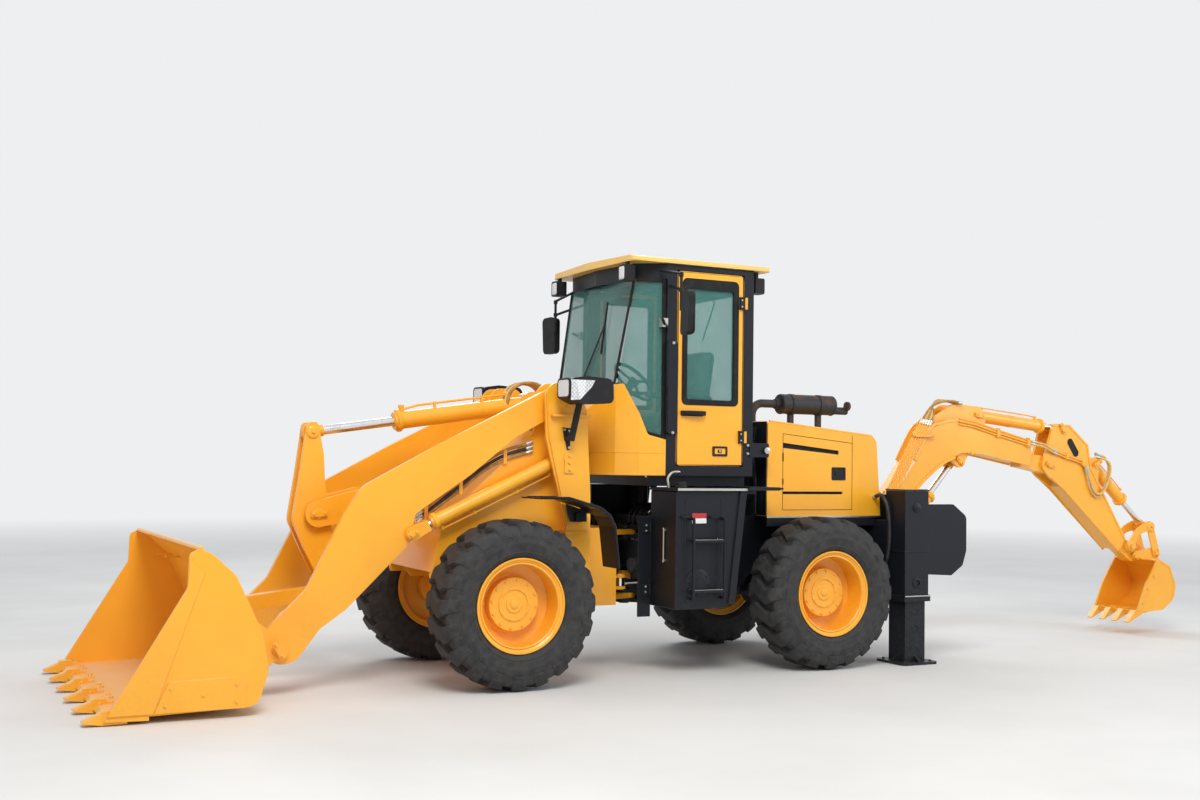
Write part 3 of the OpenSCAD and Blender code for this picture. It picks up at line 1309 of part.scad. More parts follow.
wheel_y = track / 2;
rear_frame();
rear_axle();
tanks();
rear_fenders();
cab_shell();
cab_roof();
cab_glass();
cab_cowl();
seat();
steering_console();
mirrors();
work_lamps();
hood();
engine_block();
muffler();
backhoe_frame();
swing_lugs();
front_frame();
front_axle();
front_fenders();
headlamps();
tyre(front_axle_x, wheel_y, 0);  // tyre_front_left
rim(front_axle_x, wheel_y, 0);  // rim_front_left
tyre(front_axle_x, -wheel_y, 0);  // tyre_front_right
rim(front_axle_x, -wheel_y, 1);  // rim_front_right
tyre(rear_axle_x, wheel_y, 0);  // tyre_rear_left
rim(rear_axle_x, wheel_y, 0);  // rim_rear_left
tyre(rear_axle_x, -wheel_y, 0);  // tyre_rear_right
rim(rear_axle_x, -wheel_y, 1);  // rim_rear_right
steer_barrel(0);  // steer_barrel_left
steer_rod(0);  // steer_rod_left
steer_barrel(1);  // steer_barrel_right
steer_rod(1);  // steer_rod_right
loader_boom();
lift_barrels();
lift_rods();
tilt_barrel();
tilt_rod();
bellcrank();
bucket_link();
loader_bucket();
door(0);  // door_left
door(1);  // door_right
door_glass(0);  // door_glass_left
door_glass(1);  // door_glass_right
swing_post();
backhoe_boom();
dipper();
backhoe_bucket();
bucket_rocker();
rocker_link();
boom_cyl_barrel();
boom_cyl_rod();
dipper_cyl_barrel();
dipper_cyl_rod();
bucket_cyl_barrel();
bucket_cyl_rod();
stabiliser(0);  // stabiliser_left
stabiliser(1);  // stabiliser_right
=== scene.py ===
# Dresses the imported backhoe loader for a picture: paint, glass, rubber and the small parts.
import math

import bmesh
import bpy
from mathutils import Matrix, Vector, geometry


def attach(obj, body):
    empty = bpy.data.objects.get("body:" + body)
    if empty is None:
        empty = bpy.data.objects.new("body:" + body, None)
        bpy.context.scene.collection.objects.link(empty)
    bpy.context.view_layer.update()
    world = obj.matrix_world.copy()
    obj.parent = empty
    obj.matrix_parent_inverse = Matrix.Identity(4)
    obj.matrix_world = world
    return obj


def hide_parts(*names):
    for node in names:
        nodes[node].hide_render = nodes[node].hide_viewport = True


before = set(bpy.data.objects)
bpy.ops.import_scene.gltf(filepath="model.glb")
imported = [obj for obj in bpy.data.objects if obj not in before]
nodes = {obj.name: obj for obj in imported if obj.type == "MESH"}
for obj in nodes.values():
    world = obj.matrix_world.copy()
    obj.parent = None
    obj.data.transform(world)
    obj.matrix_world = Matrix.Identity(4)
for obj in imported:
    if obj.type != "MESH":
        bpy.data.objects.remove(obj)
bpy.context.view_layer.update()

# Places are written in millimetres from the drawing's datum, as in the part's source.
DATUM_X = 143.0
MM = 0.001
TO_ROW = Matrix.Translation((-DATUM_X * MM, 0, 0)) @ Matrix.Scale(MM, 4)
FRONT_AXLE_X, REAR_AXLE_X = 2380.0, -270.0
AXLE_Z, WHEEL_Y, ARM_Y, SHAFT_Z = 590.0, 805.0, 522.0, 770
CAB_FACE_Y, HOOD_SEAM_Y, PIPE_Y = 680.5, 580.6, 134
SIDES = (("left", 1), ("right", -1))
# Pins at rest, [x, z]; a cylinder has its foot and its rod's eye
BOOM_PIVOT, LIFT_PIN, LIFT_BASE = (1906, 2024), (3034, 1073), (1870, 1610)
BELL_PIVOT, BELL_TOP, BELL_LOW = (3575, 1195), (3616, 1772), (3420, 650)
BUCKET_PIN = (3960, 320)
BOOM_FOOT, DIPPER_PIVOT = (-1480, 1130), (-3440, 1616)
BOOM_CYL = ((-1560, 800), (-2335, 1640))
DIPPER_CYL = ((-2575, 2060), (-3600, 1963))
BUCKET_CYL = ((-4052, 1640), (-4780, 1025))
ROCKER_PIVOT, ROCKER_TOP = (-4511, 835), (-4780, 1025)
BH_BUCKET_PIN, BH_LINK_PIN = (-4583, 740), (-4864, 765)


# ---------------------------------------------------------------- camera, light and floor
def aim_camera():
    """The camera that took the photograph, found from the machine's straight edges."""
    yaw, pitch, roll = math.radians(27.43), math.radians(2.51), math.radians(0.82)
    look = Vector((-math.sin(yaw) * math.cos(pitch), -math.cos(yaw) * math.cos(pitch), math.sin(pitch)))
    level = Vector((-math.cos(yaw), math.sin(yaw), 0))
    upright = level.cross(look)
    right = math.cos(roll) * level + math.sin(roll) * upright
    up = math.cos(roll) * upright - math.sin(roll) * level
    camera = bpy.data.objects.new("camera", bpy.data.cameras.new("camera"))
    bpy.context.scene.collection.objects.link(camera)
    stand, film_width, focal_pixels, photo_width = (6.167, 9.670, 1.598), 36.0, 1378.9, 1200
    camera.matrix_world = Matrix.Translation(stand) @ Matrix((right, up, -look)).transposed().to_4x4()
    camera.data.sensor_width = film_width
    camera.data.lens = film_width * focal_pixels / photo_width
    camera.data.clip_end = 200.0
    bpy.context.scene.camera = camera


def area_light(name, place, target, size, watts, colour=(1, 1, 1)):
    """A round soft lamp at a place, aimed at the target."""
    lamp = bpy.data.lights.new(name, "AREA")
    lamp.shape, lamp.size, lamp.energy, lamp.color = "DISK", size, watts, colour
    holder = bpy.data.objects.new(name, lamp)
    bpy.context.scene.collection.objects.link(holder)
    holder.location = place
    holder.rotation_mode = "QUATERNION"
    holder.rotation_quaternion = (Vector(target) - Vector(place)).to_track_quat("-Z", "Y")


def light_studio():
    """Soft lamps; the camera, and what it sees by glass and gloss, meets a plain bright backdrop."""
    scene = bpy.context.scene
    scene.view_settings.view_transform = "Standard"
    world = bpy.data.worlds.new("studio")
    scene.world = world
    world.use_nodes = True
    tree = world.node_tree
    tree.nodes.clear()
    out = tree.nodes.new("ShaderNodeOutputWorld")
    mix = tree.nodes.new("ShaderNodeMixShader")
    rays = tree.nodes.new("ShaderNodeLightPath")
    seen = tree.nodes.new("ShaderNodeMath")
    seen.operation = "MAXIMUM"
    seen_too = tree.nodes.new("ShaderNodeMath")
    seen_too.operation = "MAXIMUM"
    soft, plain = tree.nodes.new("ShaderNodeBackground"), tree.nodes.new("ShaderNodeBackground")
    soft.inputs[0].default_value, soft.inputs[1].default_value = (0.93, 0.96, 1.0, 1), 0.62
    plain.inputs[0].default_value, plain.inputs[1].default_value = (0.90, 0.91, 0.92, 1), 0.95
    link = tree.links.new
    link(rays.outputs["Is Camera Ray"], seen.inputs[0])
    link(rays.outputs["Is Transmission Ray"], seen.inputs[1])
    link(seen.outputs[0], seen_too.inputs[0])
    link(rays.outputs["Is Glossy Ray"], seen_too.inputs[1])
    link(seen_too.outputs[0], mix.inputs[0])
    link(soft.outputs[0], mix.inputs[1])
    link(plain.outputs[0], mix.inputs[2])
    link(mix.outputs[0], out.inputs[0])
    area_light("key", (4.5, 7.5, 9.0), (0, 0, 1.2), 5.0, 820, (1.0, 0.97, 0.92))
    area_light("fill", (-9.0, 7.0, 5.0), (-1, 0, 1.0), 6.0, 300, (0.93, 0.96, 1.0))
    area_light("back", (-2.0, -9.0, 8.0), (0, 0, 1.2), 6.0, 420)


# ---------------------------------------------------------------- finishes
class Value:
    """A number that varies over a finish; Python's operators add the Math nodes."""

    def __init__(self, finish, link):
        self.finish, self.link = finish, link

    def _math(self, operation, *values):
        return self.finish.node("Math", {"operation": operation}, dict(enumerate(values)))

    def __add__(self, other):
        return self._math("ADD", self, other)

    def __sub__(self, other):
        return self._math("SUBTRACT", self, other)

    def __mul__(self, other):
        return self._math("MULTIPLY", self, other)

    __radd__, __rmul__ = __add__, __mul__

    def between(self, low, high, to_low=0.0, to_high=1.0):
        """Stretches low..high to 0..1 or the given range, and clamps it."""
        return self.finish.node("MapRange", {"clamp": True},
                                {"Value": self, "From Min": low, "From Max": high, "To Min": to_low,
                                 "To Max": to_high})


class Finish:
    """A material made of nodes round one Principled shader."""

    def __init__(self, name, colour, roughness, metallic=0.0, **fixed):
        self.material = bpy.data.materials.new(name)
        self.material.use_nodes = True
        self.tree = self.material.node_tree
        self.tree.nodes.clear()
        self.shader = self.tree.nodes.new("ShaderNodeBsdfPrincipled")
        out = self.tree.nodes.new("ShaderNodeOutputMaterial")
        self.tree.links.new(self.shader.outputs[0], out.inputs[0])
        self.material.diffuse_color = (*colour, 1)
        self.set("Base Color", (*colour, 1))
        self.set("Roughness", roughness)
        self.set("Metallic", metallic)
        for name, value in fixed.items():
            self.set(name.replace("_", " "), value)

    def set(self, socket, value):
        self._plug(value, self.shader.inputs[socket])

    def _plug(self, value, socket):
        if isinstance(value, Value):
            self.tree.links.new(value.link, socket)
        else:
            socket.default_value = value

    def node(self, kind, settings=None, inputs=None, output=0):
        """Any node: its settings first, then the values or links of its sockets."""
        made = self.tree.nodes.new("ShaderNode" + kind)
        for key, value in (settings or {}).items():
            if key == "stops":
                for stop, (place, colour) in zip(self._stops(made, len(value)), value):
                    stop.position, stop.color = place, (*colour, 1)
            else:
                setattr(made, key, value)
        for key, value in (inputs or {}).items():
            self._plug(value, made.inputs[key])
        return Value(self, made.outputs[output])

    @staticmethod
    def _stops(made, count):
        ramp = made.color_ramp.elements
        while len(ramp) < count:
            ramp.new(1.0)
        return ramp

    def place(self):
        return self.node("TexCoord", output="Object")

    def along(self, axis):
        """The place along X, Y or Z in metres."""
        return self.node("SeparateXYZ", None, {0: self.place()}, output=axis)

    def facing_up(self):
        """1 on level tops, 0 on walls and undersides."""
        return self.node("SeparateXYZ", None, {0: self.node("NewGeometry", output="Normal")},
                         output="Z").between(0.35, 0.95)

    def grain(self, scale, detail=3.0, roughness=0.55, stretch=None):
        where = self.place()
        if stretch:
            where = self.node("Mapping", None, {"Vector": where, "Scale": stretch})
        return self.node("TexNoise", None, {"Vector": where, "Scale": scale, "Detail": detail,
                                            "Roughness": roughness})

    def mixed(self, first, second, share):
        """A colour between two, by a share from 0 to 1."""
        pick = lambda c: c if isinstance(c, Value) else (*c, 1)
        return self.node("Mix", {"data_type": "RGBA"}, {0: share, 6: pick(first), 7: pick(second)}, output=2)

    def soft_edge(self, radius=0.004):
        """The surface's direction with its corners rounded by the radius, in metres."""
        return self.node("Bevel", {"samples": 6}, {"Radius": radius}, output="Normal")

    def edge_wear(self, radius=0.006):
        """1 on outside and inside corners, 0 on flats."""
        true = self.node("NewGeometry", output="Normal")
        return self.node("VectorMath", {"operation": "DOT_PRODUCT"}, {0: self.soft_edge(radius), 1: true},
                         output="Value").between(0.995, 0.86)

    def bump(self, height, depth, strength=1.0, edge=0.0):
        inputs = {"Strength": strength, "Distance": depth, "Height": height}
        if edge:
            inputs["Normal"] = self.soft_edge(edge)
        self.set("Normal", self.node("Bump", None, inputs))


DUST = (0.30, 0.26, 0.20)


def enamel(name, colour, dark, roughness=0.34, dust=0.10, coat=0.25, rubbed=(0.97, 0.60, 0.16), shine=0.5,
           film=DUST, patch=38.0, low_share=0.8):
    """Sprayed paint on plate: faint drift in tone, orange peel, rubbed corners, dust on tops and low down."""
    f = Finish(name, colour, roughness, Coat_Weight=coat, Coat_Roughness=0.12, Specular_IOR_Level=shine)
    cloud = f.grain(1.7, 4.0)
    tone = f.mixed(colour, dark, cloud.between(0.42, 0.78, 0.0, 0.55))
    low = f.along("Z").between(0.9, 0.1)
    speck = f.grain(patch, 5.0, 0.7).between(0.45, 0.72) if patch > 10 else f.grain(
        patch, 5.0, 0.6).between(0.15, 0.55)
    settled = (f.facing_up() * 0.7 + low * low_share) * speck * dust * 2.0
    worn = f.edge_wear() * f.grain(26.0, 4.0, 0.65).between(0.44, 0.62)
    f.set("Base Color", f.mixed(f.mixed(tone, film, settled.between(0.0, 1.0)), rubbed, worn * 0.7))
    f.set("Roughness", roughness + settled * 0.5 + f.grain(9.0, 2.0) * 0.10 - 0.05)
    f.bump(f.grain(420.0, 2.0) * 0.5 + f.grain(60.0, 2.0) * 0.5, 0.0007, 0.35, edge=0.004)
    return f.material


def tube_enamel(name, colour, dark):
    """The same paint on tubes and small fittings, without worn corners."""
    f = Finish(name, colour, 0.42)
    f.set("Base Color", f.mixed(colour, dark, f.grain(3.0, 4.0).between(0.42, 0.78, 0.0, 0.6)))
    f.set("Roughness", f.grain(9.0, 2.0).between(0.3, 0.7, 0.38, 0.50))
    return f.material


def rod_with_painted_eye(name, eye, reach):
    """A chromed rod, painted within that reach of its pin at [x, z]."""
    f = Finish(name, (0.78, 0.79, 0.81), 0.14, 1.0)
    x, z = f.along("X") - (eye[0] - DATUM_X) * MM, f.along("Z") - eye[1] * MM
    bare = (x * x + z * z).between((reach * MM) ** 2, ((reach + 3) * MM) ** 2)
    chromed = f.mixed((0.78, 0.79, 0.81), (0.58, 0.59, 0.60), f.grain(14.0, 3.0).between(0.5, 0.8))
    f.set("Base Color", f.mixed(f.mixed(YELLOW, YELLOW_SHADE, f.grain(3.0).between(0.4, 0.8)), chromed, bare))
    f.set("Metallic", bare)
    f.set("Roughness", bare.between(0, 1, 0.38, 0.16))
    return f.material


def tyre_rubber():
    f = Finish("tyre_rubber", (0.020, 0.020, 0.022), 0.72, Specular_IOR_Level=0.35)
    dusty = f.grain(16.0, 6.0, 0.65).between(0.38, 0.70)
    fine = f.grain(160.0, 3.0, 0.7)
    f.set("Base Color", f.mixed((0.016, 0.016, 0.018), (0.062, 0.060, 0.058), dusty * 0.75 + fine * 0.2))
    f.set("Roughness", dusty.between(0, 1, 0.62, 0.88))
    f.bump(fine * 0.6 + f.grain(45.0, 3.0) * 0.4, 0.0015, 0.5)
    return f.material


def bright_steel(name, colour=(0.78, 0.79, 0.81), roughness=0.14):
    """Hard chromed rod: polished, with a fine drawn grain."""
    f = Finish(name, colour, roughness, 1.0)
    drawn = f.grain(240.0, 2.0, 0.6, (0.05, 1.0, 1.0))
    f.set("Roughness", roughness + drawn * 0.10)
    f.set("Base Color", f.mixed(colour, (0.58, 0.59, 0.60), f.grain(14.0, 3.0).between(0.5, 0.8)))
    return f.material


def tinted_glass():
    f = Finish("tinted_glass", (0.10, 0.30, 0.27), 0.05, Alpha=0.36)
    film = f.grain(5.0, 4.0, 0.6).between(0.45, 0.8)
    f.set("Roughness", film.between(0, 1, 0.04, 0.16))
    f.set("Alpha", film.between(0, 1, 0.34, 0.42))
    f.material.surface_render_method = "BLENDED"
    return f.material


def black_plastic(name="black_plastic", roughness=0.50, colour=(0.011, 0.011, 0.0125)):
    f = Finish(name, colour, roughness, Specular_IOR_Level=0.25)
    cell = f.node("TexVoronoi", None, {"Vector": f.place(), "Scale": 260.0})
    f.bump(cell, 0.0006, 0.35)
    f.set("Base Color", f.mixed(colour, (0.032, 0.032, 0.034), f.grain(12.0, 4.0).between(0.5, 0.8) * 0.6))
    return f.material


def hose_rubber(name="hose_rubber", colour=(0.015, 0.015, 0.016), scuffed=(0.055, 0.052, 0.05)):
    f = Finish(name, colour, 0.55)
    braid = f.node("TexWave", {"wave_type": "BANDS", "bands_direction": "DIAGONAL"},
                   {"Vector": f.place(), "Scale": 90.0, "Distortion": 1.5, "Detail": 1.0}, output="Fac")
    f.bump(braid, 0.0006, 0.4)
    f.set("Base Color", f.mixed(colour, scuffed, f.grain(20.0, 4.0).between(0.45, 0.75)))
    return f.material


def seat_vinyl():
    f = Finish("seat_vinyl", (0.022, 0.022, 0.024), 0.55, Sheen_Weight=0.15)
    pore = f.node("TexVoronoi", None, {"Vector": f.place(), "Scale": 330.0})
    f.bump(pore * 0.7 + f.grain(70.0, 3.0) * 0.3, 0.0012, 0.5)
    f.set("Base Color", f.mixed((0.020, 0.020, 0.022), (0.048, 0.047, 0.046),
                                f.grain(7.0, 4.0).between(0.45, 0.8)))
    return f.material


def heat_black():
    """Muffler paint, gone brown where it runs hot."""
    f = Finish("heat_black", (0.03, 0.03, 0.032), 0.62, 0.3)
    hot = f.grain(11.0, 5.0, 0.65).between(0.50, 0.72)
    f.set("Base Color", f.mixed((0.028, 0.029, 0.033), (0.12, 0.06, 0.035), hot))
    f.set("Roughness", hot.between(0, 1, 0.55, 0.85))
    f.bump(f.grain(140.0, 4.0), 0.0008, 0.5)
    return f.material


def cast_grey():
    f = Finish("cast_grey", (0.10, 0.105, 0.11), 0.7, 0.25)
    f.set("Base Color", f.mixed((0.09, 0.095, 0.10), (0.035, 0.03, 0.028),
                                f.grain(9.0, 5.0).between(0.45, 0.7)))
    f.bump(f.grain(210.0, 4.0), 0.0015, 0.6)
    return f.material


def lamp_lens(name, colour):
    f = Finish(name, colour, 0.12, Coat_Weight=0.7, Coat_Roughness=0.05)
    facet = f.node("TexChecker", None, {"Vector": f.place(), "Scale": 70.0}, output="Fac")
    f.bump(facet * 0.5 + f.grain(120.0, 1.0) * 0.5, 0.001, 0.5)
    f.set("Base Color", f.mixed(colour, tuple(0.55 * c for c in colour), facet * 0.6))
    return f.material


def mirror_face():
    f = Finish("mirror_face", (0.72, 0.76, 0.80), 0.05, 1.0)
    f.set("Roughness", f.grain(6.0, 3.0).between(0.45, 0.8, 0.03, 0.14))
    return f.material


YELLOW = (0.94, 0.43, 0.022)
YELLOW_SHADE = (0.80, 0.33, 0.014)
yellow = enamel("yellow_enamel", YELLOW, YELLOW_SHADE)
yellow_tube = tube_enamel("yellow_tube", YELLOW, YELLOW_SHADE)
yellow_worked = enamel("yellow_worked", YELLOW, YELLOW_SHADE, 0.42, 0.58, 0.1, film=(0.80, 0.50, 0.26),
                       patch=5.0, low_share=0.04)
black = enamel("black_enamel", (0.0085, 0.0105, 0.0155), (0.006, 0.0075, 0.011), 0.40, 0.05, 0.0,
               (0.06, 0.065, 0.075), 0.26)
roof_cream = enamel("roof_cream", (0.88, 0.56, 0.15), (0.80, 0.50, 0.14), 0.42, 0.12, 0.1)
rubber, chrome, glass = tyre_rubber(), bright_steel("chromed_rod"), tinted_glass()
plastic, hose, vinyl = black_plastic(), hose_rubber(), seat_vinyl()
muffler_paint, casting = heat_black(), cast_grey()
brown_hose = hose_rubber("brown_hose", (0.36, 0.17, 0.035), (0.56, 0.30, 0.08))
pale_hose = hose_rubber("pale_hose", (0.66, 0.42, 0.13), (0.74, 0.56, 0.28))
lip_black = black_plastic("rubber_seal", 0.6, (0.006, 0.006, 0.007))
zinc = bright_steel("zinc_bolt", (0.55, 0.54, 0.50), 0.35)
lens_clear, lens_red = lamp_lens("lens_clear", (0.80, 0.82, 0.84)), lamp_lens("lens_red", (0.55, 0.01, 0.01))
mirror_glass = mirror_face()
white_film = enamel("white_film", (0.75, 0.75, 0.74), (0.66, 0.66, 0.65), 0.5, 0.1, 0.0)

# The record's material slot that each finish stands for
SLOT_OF = {yellow: "yellow_paint", yellow_tube: "yellow_paint", black: "black_paint",
           roof_cream: "roof_paint", plastic: "black_plastic", lip_black: "black_plastic",
           hose: "black_plastic", brown_hose: "black_plastic", pale_hose: "black_plastic", zinc: "steel_rod",
           casting: "cast_block", muffler_paint: "muffler_steel", lens_clear: "window_glass",
           lens_red: "window_glass", white_film: "window_glass", mirror_glass: "window_glass",
           vinyl: "seat_cover", rubber: "tread_rubber", }

NODE_FINISH = {
    black: "rear_frame rear_axle tanks rear_fenders cab_shell backhoe_frame swing_lugs front_fenders "
           "swing_post stabiliser_left stabiliser_right",
    glass: "cab_glass door_glass_left door_glass_right",
    plastic: "mirrors work_lamps headlamps steering_console",
    chrome: "steer_rod_left steer_rod_right",
    roof_cream: "cab_roof", vinyl: "seat", muffler_paint: "muffler", casting: "engine_block",
    rubber: "tyre_front_left tyre_front_right tyre_rear_left tyre_rear_right",
}
for rod_node, eye_at, eye_reach in (("lift_rods", LIFT_PIN, 140), ("tilt_rod", BELL_TOP, 95),
                                    ("boom_cyl_rod", BOOM_CYL[1], 78), ("dipper_cyl_rod", DIPPER_CYL[1], 78),
                                    ("bucket_cyl_rod", BUCKET_CYL[1], 78)):
    NODE_FINISH[rod_with_painted_eye(rod_node + "_chrome", eye_at, eye_reach)] = rod_node


def paint_nodes():
    """Every CAD node gets its finish, and flat faces with crisp edges."""
    finish_of = {name: finish for finish, names in NODE_FINISH.items() for name in names.split()}
    for name, thing in nodes.items():
        thing.data.materials.clear()
        thing.data.materials.append(finish_of.get(name, yellow))
        thing.data.shade_smooth()
        thing.data.set_sharp_from_angle(angle=math.radians(32))


# ---------------------------------------------------------------- making pieces
FORWARD, LEFT, UP = (1, 0, 0), (0, 1, 0), (0, 0, 1)


def shift_by(x, y, z):
    return Matrix.Translation((x, y, z))


def turn_by(degrees, axis):
    return Matrix.Rotation(math.radians(degrees), 4, axis)


def circle(sides):
    """The corners [cosine, sine] of a regular polygon."""
    return [(math.cos(2 * math.pi * i / sides), math.sin(2 * math.pi * i / sides)) for i in range(sides)]


def bar(half_width, half_height):
    """The section of a flat strip, for a run."""
    w, h = half_width, half_height
    return [(-w, -h), (w, -h), (w, h), (-w, h)]


def facing(at, axis, spin=0.0):
    """A place whose own Z points along the axis."""
    return (Matrix.Translation(at) @ Vector(axis).to_track_quat("Z", "Y").to_matrix().to_4x4()
            @ turn_by(spin, "Z"))


def bend_through(points, radius, steps=6):
    """The path through the points with each corner turned at the radius, as a tube is bent."""
    points = [Vector(p) for p in points]
    path = [points[0]]
    for before, here, after in zip(points, points[1:], points[2:]):
        u, w = (before - here).normalized(), (after - here).normalized()
        half = u.angle(w) / 2
        if half > math.radians(87):
            path.append(here)
            continue
        reach = min(radius / math.tan(half), 0.48 * (before - here).length, 0.48 * (after - here).length)
        start, end = here + u * reach, here + w * reach
        pull = here + (u + w) * reach * 0.12
        for k in range(steps + 1):
            t = k / steps
            path.append((1 - t) ** 2 * start + 2 * t * (1 - t) * pull + t * t * end)
    return path + [points[-1]]


def spline(rows, steps):
    """Points on a smooth curve through the rows' inner ones, from each four rows that follow one another."""
    for a, b, c, d in rows:
        for k in range(steps):
            t = k / steps
            bend, twist = 2 * a - 5 * b + 4 * c - d, 3 * b - a - 3 * c + d
            yield 0.5 * (2 * b + (c - a) * t + bend * t ** 2 + twist * t ** 3)


def flowing(points, steps=8):
    """A smooth curve through the points, as a hose takes."""
    p = [Vector(q) for q in points]
    p = [2 * p[0] - p[1]] + p + [2 * p[-1] - p[-2]]
    return [*spline(zip(p, p[1:], p[2:], p[3:]), steps), p[-2]]


def flowing_flat(rows, steps=5):
    """A smooth outline through rows of [x, z]."""
    return [(p.x, p.z) for p in flowing([(x, 0, z) for x, z in rows], steps)]


def smooth_loop(rows, steps=4):
    """A closed smooth outline through rows of [x, z]."""
    p = [Vector((x, 0, z)) for x, z in rows]
    n = len(p)
    return [(q.x, q.z) for q in spline([(p[i - 1], p[i], p[(i + 1) % n], p[(i + 2) % n]) for i in range(n)],
                                       steps)]


class Piece:
    """Faces gathered in the drawing's millimetres, then made into one piece of the scene."""

    def __init__(self):
        self.points, self.faces = [], []

    def add(self, points, faces, place=None):
        first = len(self.points)
        self.points += [place @ Vector(p) if place else Vector(p) for p in points]
        self.faces += [[first + i for i in face] for face in faces]
        return self

    def skin(self, rings, place=None, loop=False):
        """Joins rings of points one after another, and closes both ends unless it runs in a loop."""
        around, count = len(rings[0]), len(rings)
        faces = []
        for r in range(count if loop else count - 1):
            a, b = r * around, (r + 1) % count * around
            faces += [[a + i, a + (i + 1) % around, b + (i + 1) % around, b + i] for i in range(around)]
        if not loop:
            faces += [list(range(around))[::-1], [(count - 1) * around + i for i in range(around)]]
        return self.add([p for ring in rings for p in ring], faces, place)

    def turned(self, profile, place, sides=28, loop=False):
        """A turned part: rows of [radius, height] along the place's Z."""
        return self.skin([[(r * c, r * s, h) for c, s in circle(sides)] for r, h in profile], place, loop)

    def plate(self, outline, depth, place, holes=()):
        """A flat outline in the place's XY, thick along its Z, with holes through it."""
        loops = [[Vector((x, y, 0)) for x, y in loop] for loop in (outline, *holes)]
        flat = [p for loop in loops for p in loop]
        count = len(flat)
        if holes:
            cap = [list(t) for t in geometry.tessellate_polygon(loops)]
        else:
            cap = [list(range(count))]
        faces = cap + [[i + count for i in reversed(t)] for t in cap]
        first = 0
        for loop in loops:
            n = len(loop)
            faces += [[first + i, first + (i + 1) % n, first + (i + 1) % n + count, first + i + count]
                      for i in range(n)]
            first += n
        return self.add(flat + [p + Vector((0, 0, depth)) for p in flat], faces, place)

    def block(self, low, high, place=None):
        (a, b, c), (d, e, f) = low, high
        return self.add([(a, b, c), (d, b, c), (d, e, c), (a, e, c), (a, b, f), (d, b, f), (d, e, f),
                         (a, e, f)], [(0, 3, 2, 1), (4, 5, 6, 7), (0, 1, 5, 4), (1, 2, 6, 5), (2, 3, 7, 6),
                                      (3, 0, 4, 7)], place)

    def run(self, path, section, up=UP):
        """Draws a section, rows of [side, up], along a path; a number is a round tube's radius."""
        if isinstance(section, (int, float)):
            sides = 10 if section < 20 else 16
            section = [(section * c, section * s) for c, s in circle(sides)]
        path = [Vector(p) for p in path]
        rings, side = [], None
        for i, here in enumerate(path):
            ahead = (path[min(i + 1, len(path) - 1)] - path[max(i - 1, 0)]).normalized()
            side = (side - ahead * side.dot(ahead) if side else ahead.cross(Vector(up))).normalized()
            if side.length < 0.5:
                side = ahead.orthogonal().normalized()
            over = side.cross(ahead)
            rings.append([here + side * x + over * y for x, y in section])
        return self.skin(rings)

    def bolt(self, at, axis, size=16, spin=0.0, washer=True):
        """A hex head of that width with its washer, standing on a face."""
        place = facing(at, axis, spin)
        lift = 0.0
        if washer:
            lift = size * 0.14
            self.turned([(size * 0.62, -0.5), (size * 0.62, lift), (size * 0.3, lift)], place, 14)
        edge = size * 0.5 / math.cos(math.pi / 6)
        self.turned([(edge, lift - 0.5), (edge, lift + size * 0.36), (edge * 0.86, lift + size * 0.46),
                     (size * 0.12, lift + size * 0.46)], place, 6)
        return self

    def both_sides(self):
        """The same again on the machine's other side."""
        first = len(self.points)
        self.points += [Vector((p.x, -p.y, p.z)) for p in self.points]
        self.faces += [[first + i for i in reversed(face)] for face in self.faces]
        return self

    def on_side(self, s):
        """The piece as drawn for the left side, or moved over to the right side where s is -1."""
        if s < 0:
            self.points = [Vector((p.x, -p.y, p.z)) for p in self.points]
            self.faces = [face[::-1] for face in self.faces]
        return self

    def finish(self, name, finish, body, slot=None, edge=0.0, sharp=35, place=None):
        """Puts the piece in the scene, with its corners eased by the edge's width."""
        mesh = bpy.data.meshes.new(name)
        mesh.from_pydata([(TO_ROW @ p) for p in self.points], [], self.faces)
        work = bmesh.new()
        work.from_mesh(mesh)
        bmesh.ops.remove_doubles(work, verts=work.verts, dist=2e-5)
        bmesh.ops.recalc_face_normals(work, faces=work.faces)
        if edge:
            crease = math.radians(38)
            corners = [e for e in work.edges if len(e.link_faces) == 2 and e.calc_face_angle(0) > crease]
            bmesh.ops.bevel(work, geom=corners, offset=edge * MM, segments=2, profile=0.6, affect="EDGES",
                            clamp_overlap=True)
        work.to_mesh(mesh)
        work.free()
        mesh.materials.append(finish)
        mesh.shade_smooth()
        mesh.set_sharp_from_angle(angle=math.radians(sharp))
        thing = bpy.data.objects.new(name, mesh)
        bpy.context.scene.collection.objects.link(thing)
        if place:
            thing.matrix_world = place
        if edge:
            thing.modifiers.new("flat_faces", "WEIGHTED_NORMAL").keep_sharp = True
        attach(thing, body)
        slot or SLOT_OF[finish]
        return thing


def bead(piece, radius, width, at, sides=40):
    """A weld bead round a boss or tube that runs across the machine."""
    piece.turned([(radius, -width[0]), (radius + width[1], 0), (radius, width[0])], facing(at, LEFT), sides,
                 loop=True)


def ring_of(count, radius, start=0.0):
    """Places [x, y, angle] spread evenly round a circle."""
    for k in range(count):
        a = start + 2 * math.pi * k / count
        yield radius * math.cos(a), radius * math.sin(a), math.degrees(a)


def rounded_box(x0, y0, x1, y1, r, steps=5):
    """A rectangle's outline with round corners."""
    out = []
    for cx, cy, start in ((x1 - r, y1 - r, 0), (x0 + r, y1 - r, 90), (x0 + r, y0 + r, 180),
                          (x1 - r, y0 + r, 270)):
        for k in range(steps + 1):
            a = math.radians(start + 90 * k / steps)
            out.append((cx + r * math.cos(a), cy + r * math.sin(a)))
    return out


def wall(y):
    """Where a plate drawn in X and Z has its outer face at y, and its depth inwards."""
    return shift_by(0, y, 0) @ turn_by(90, "X")


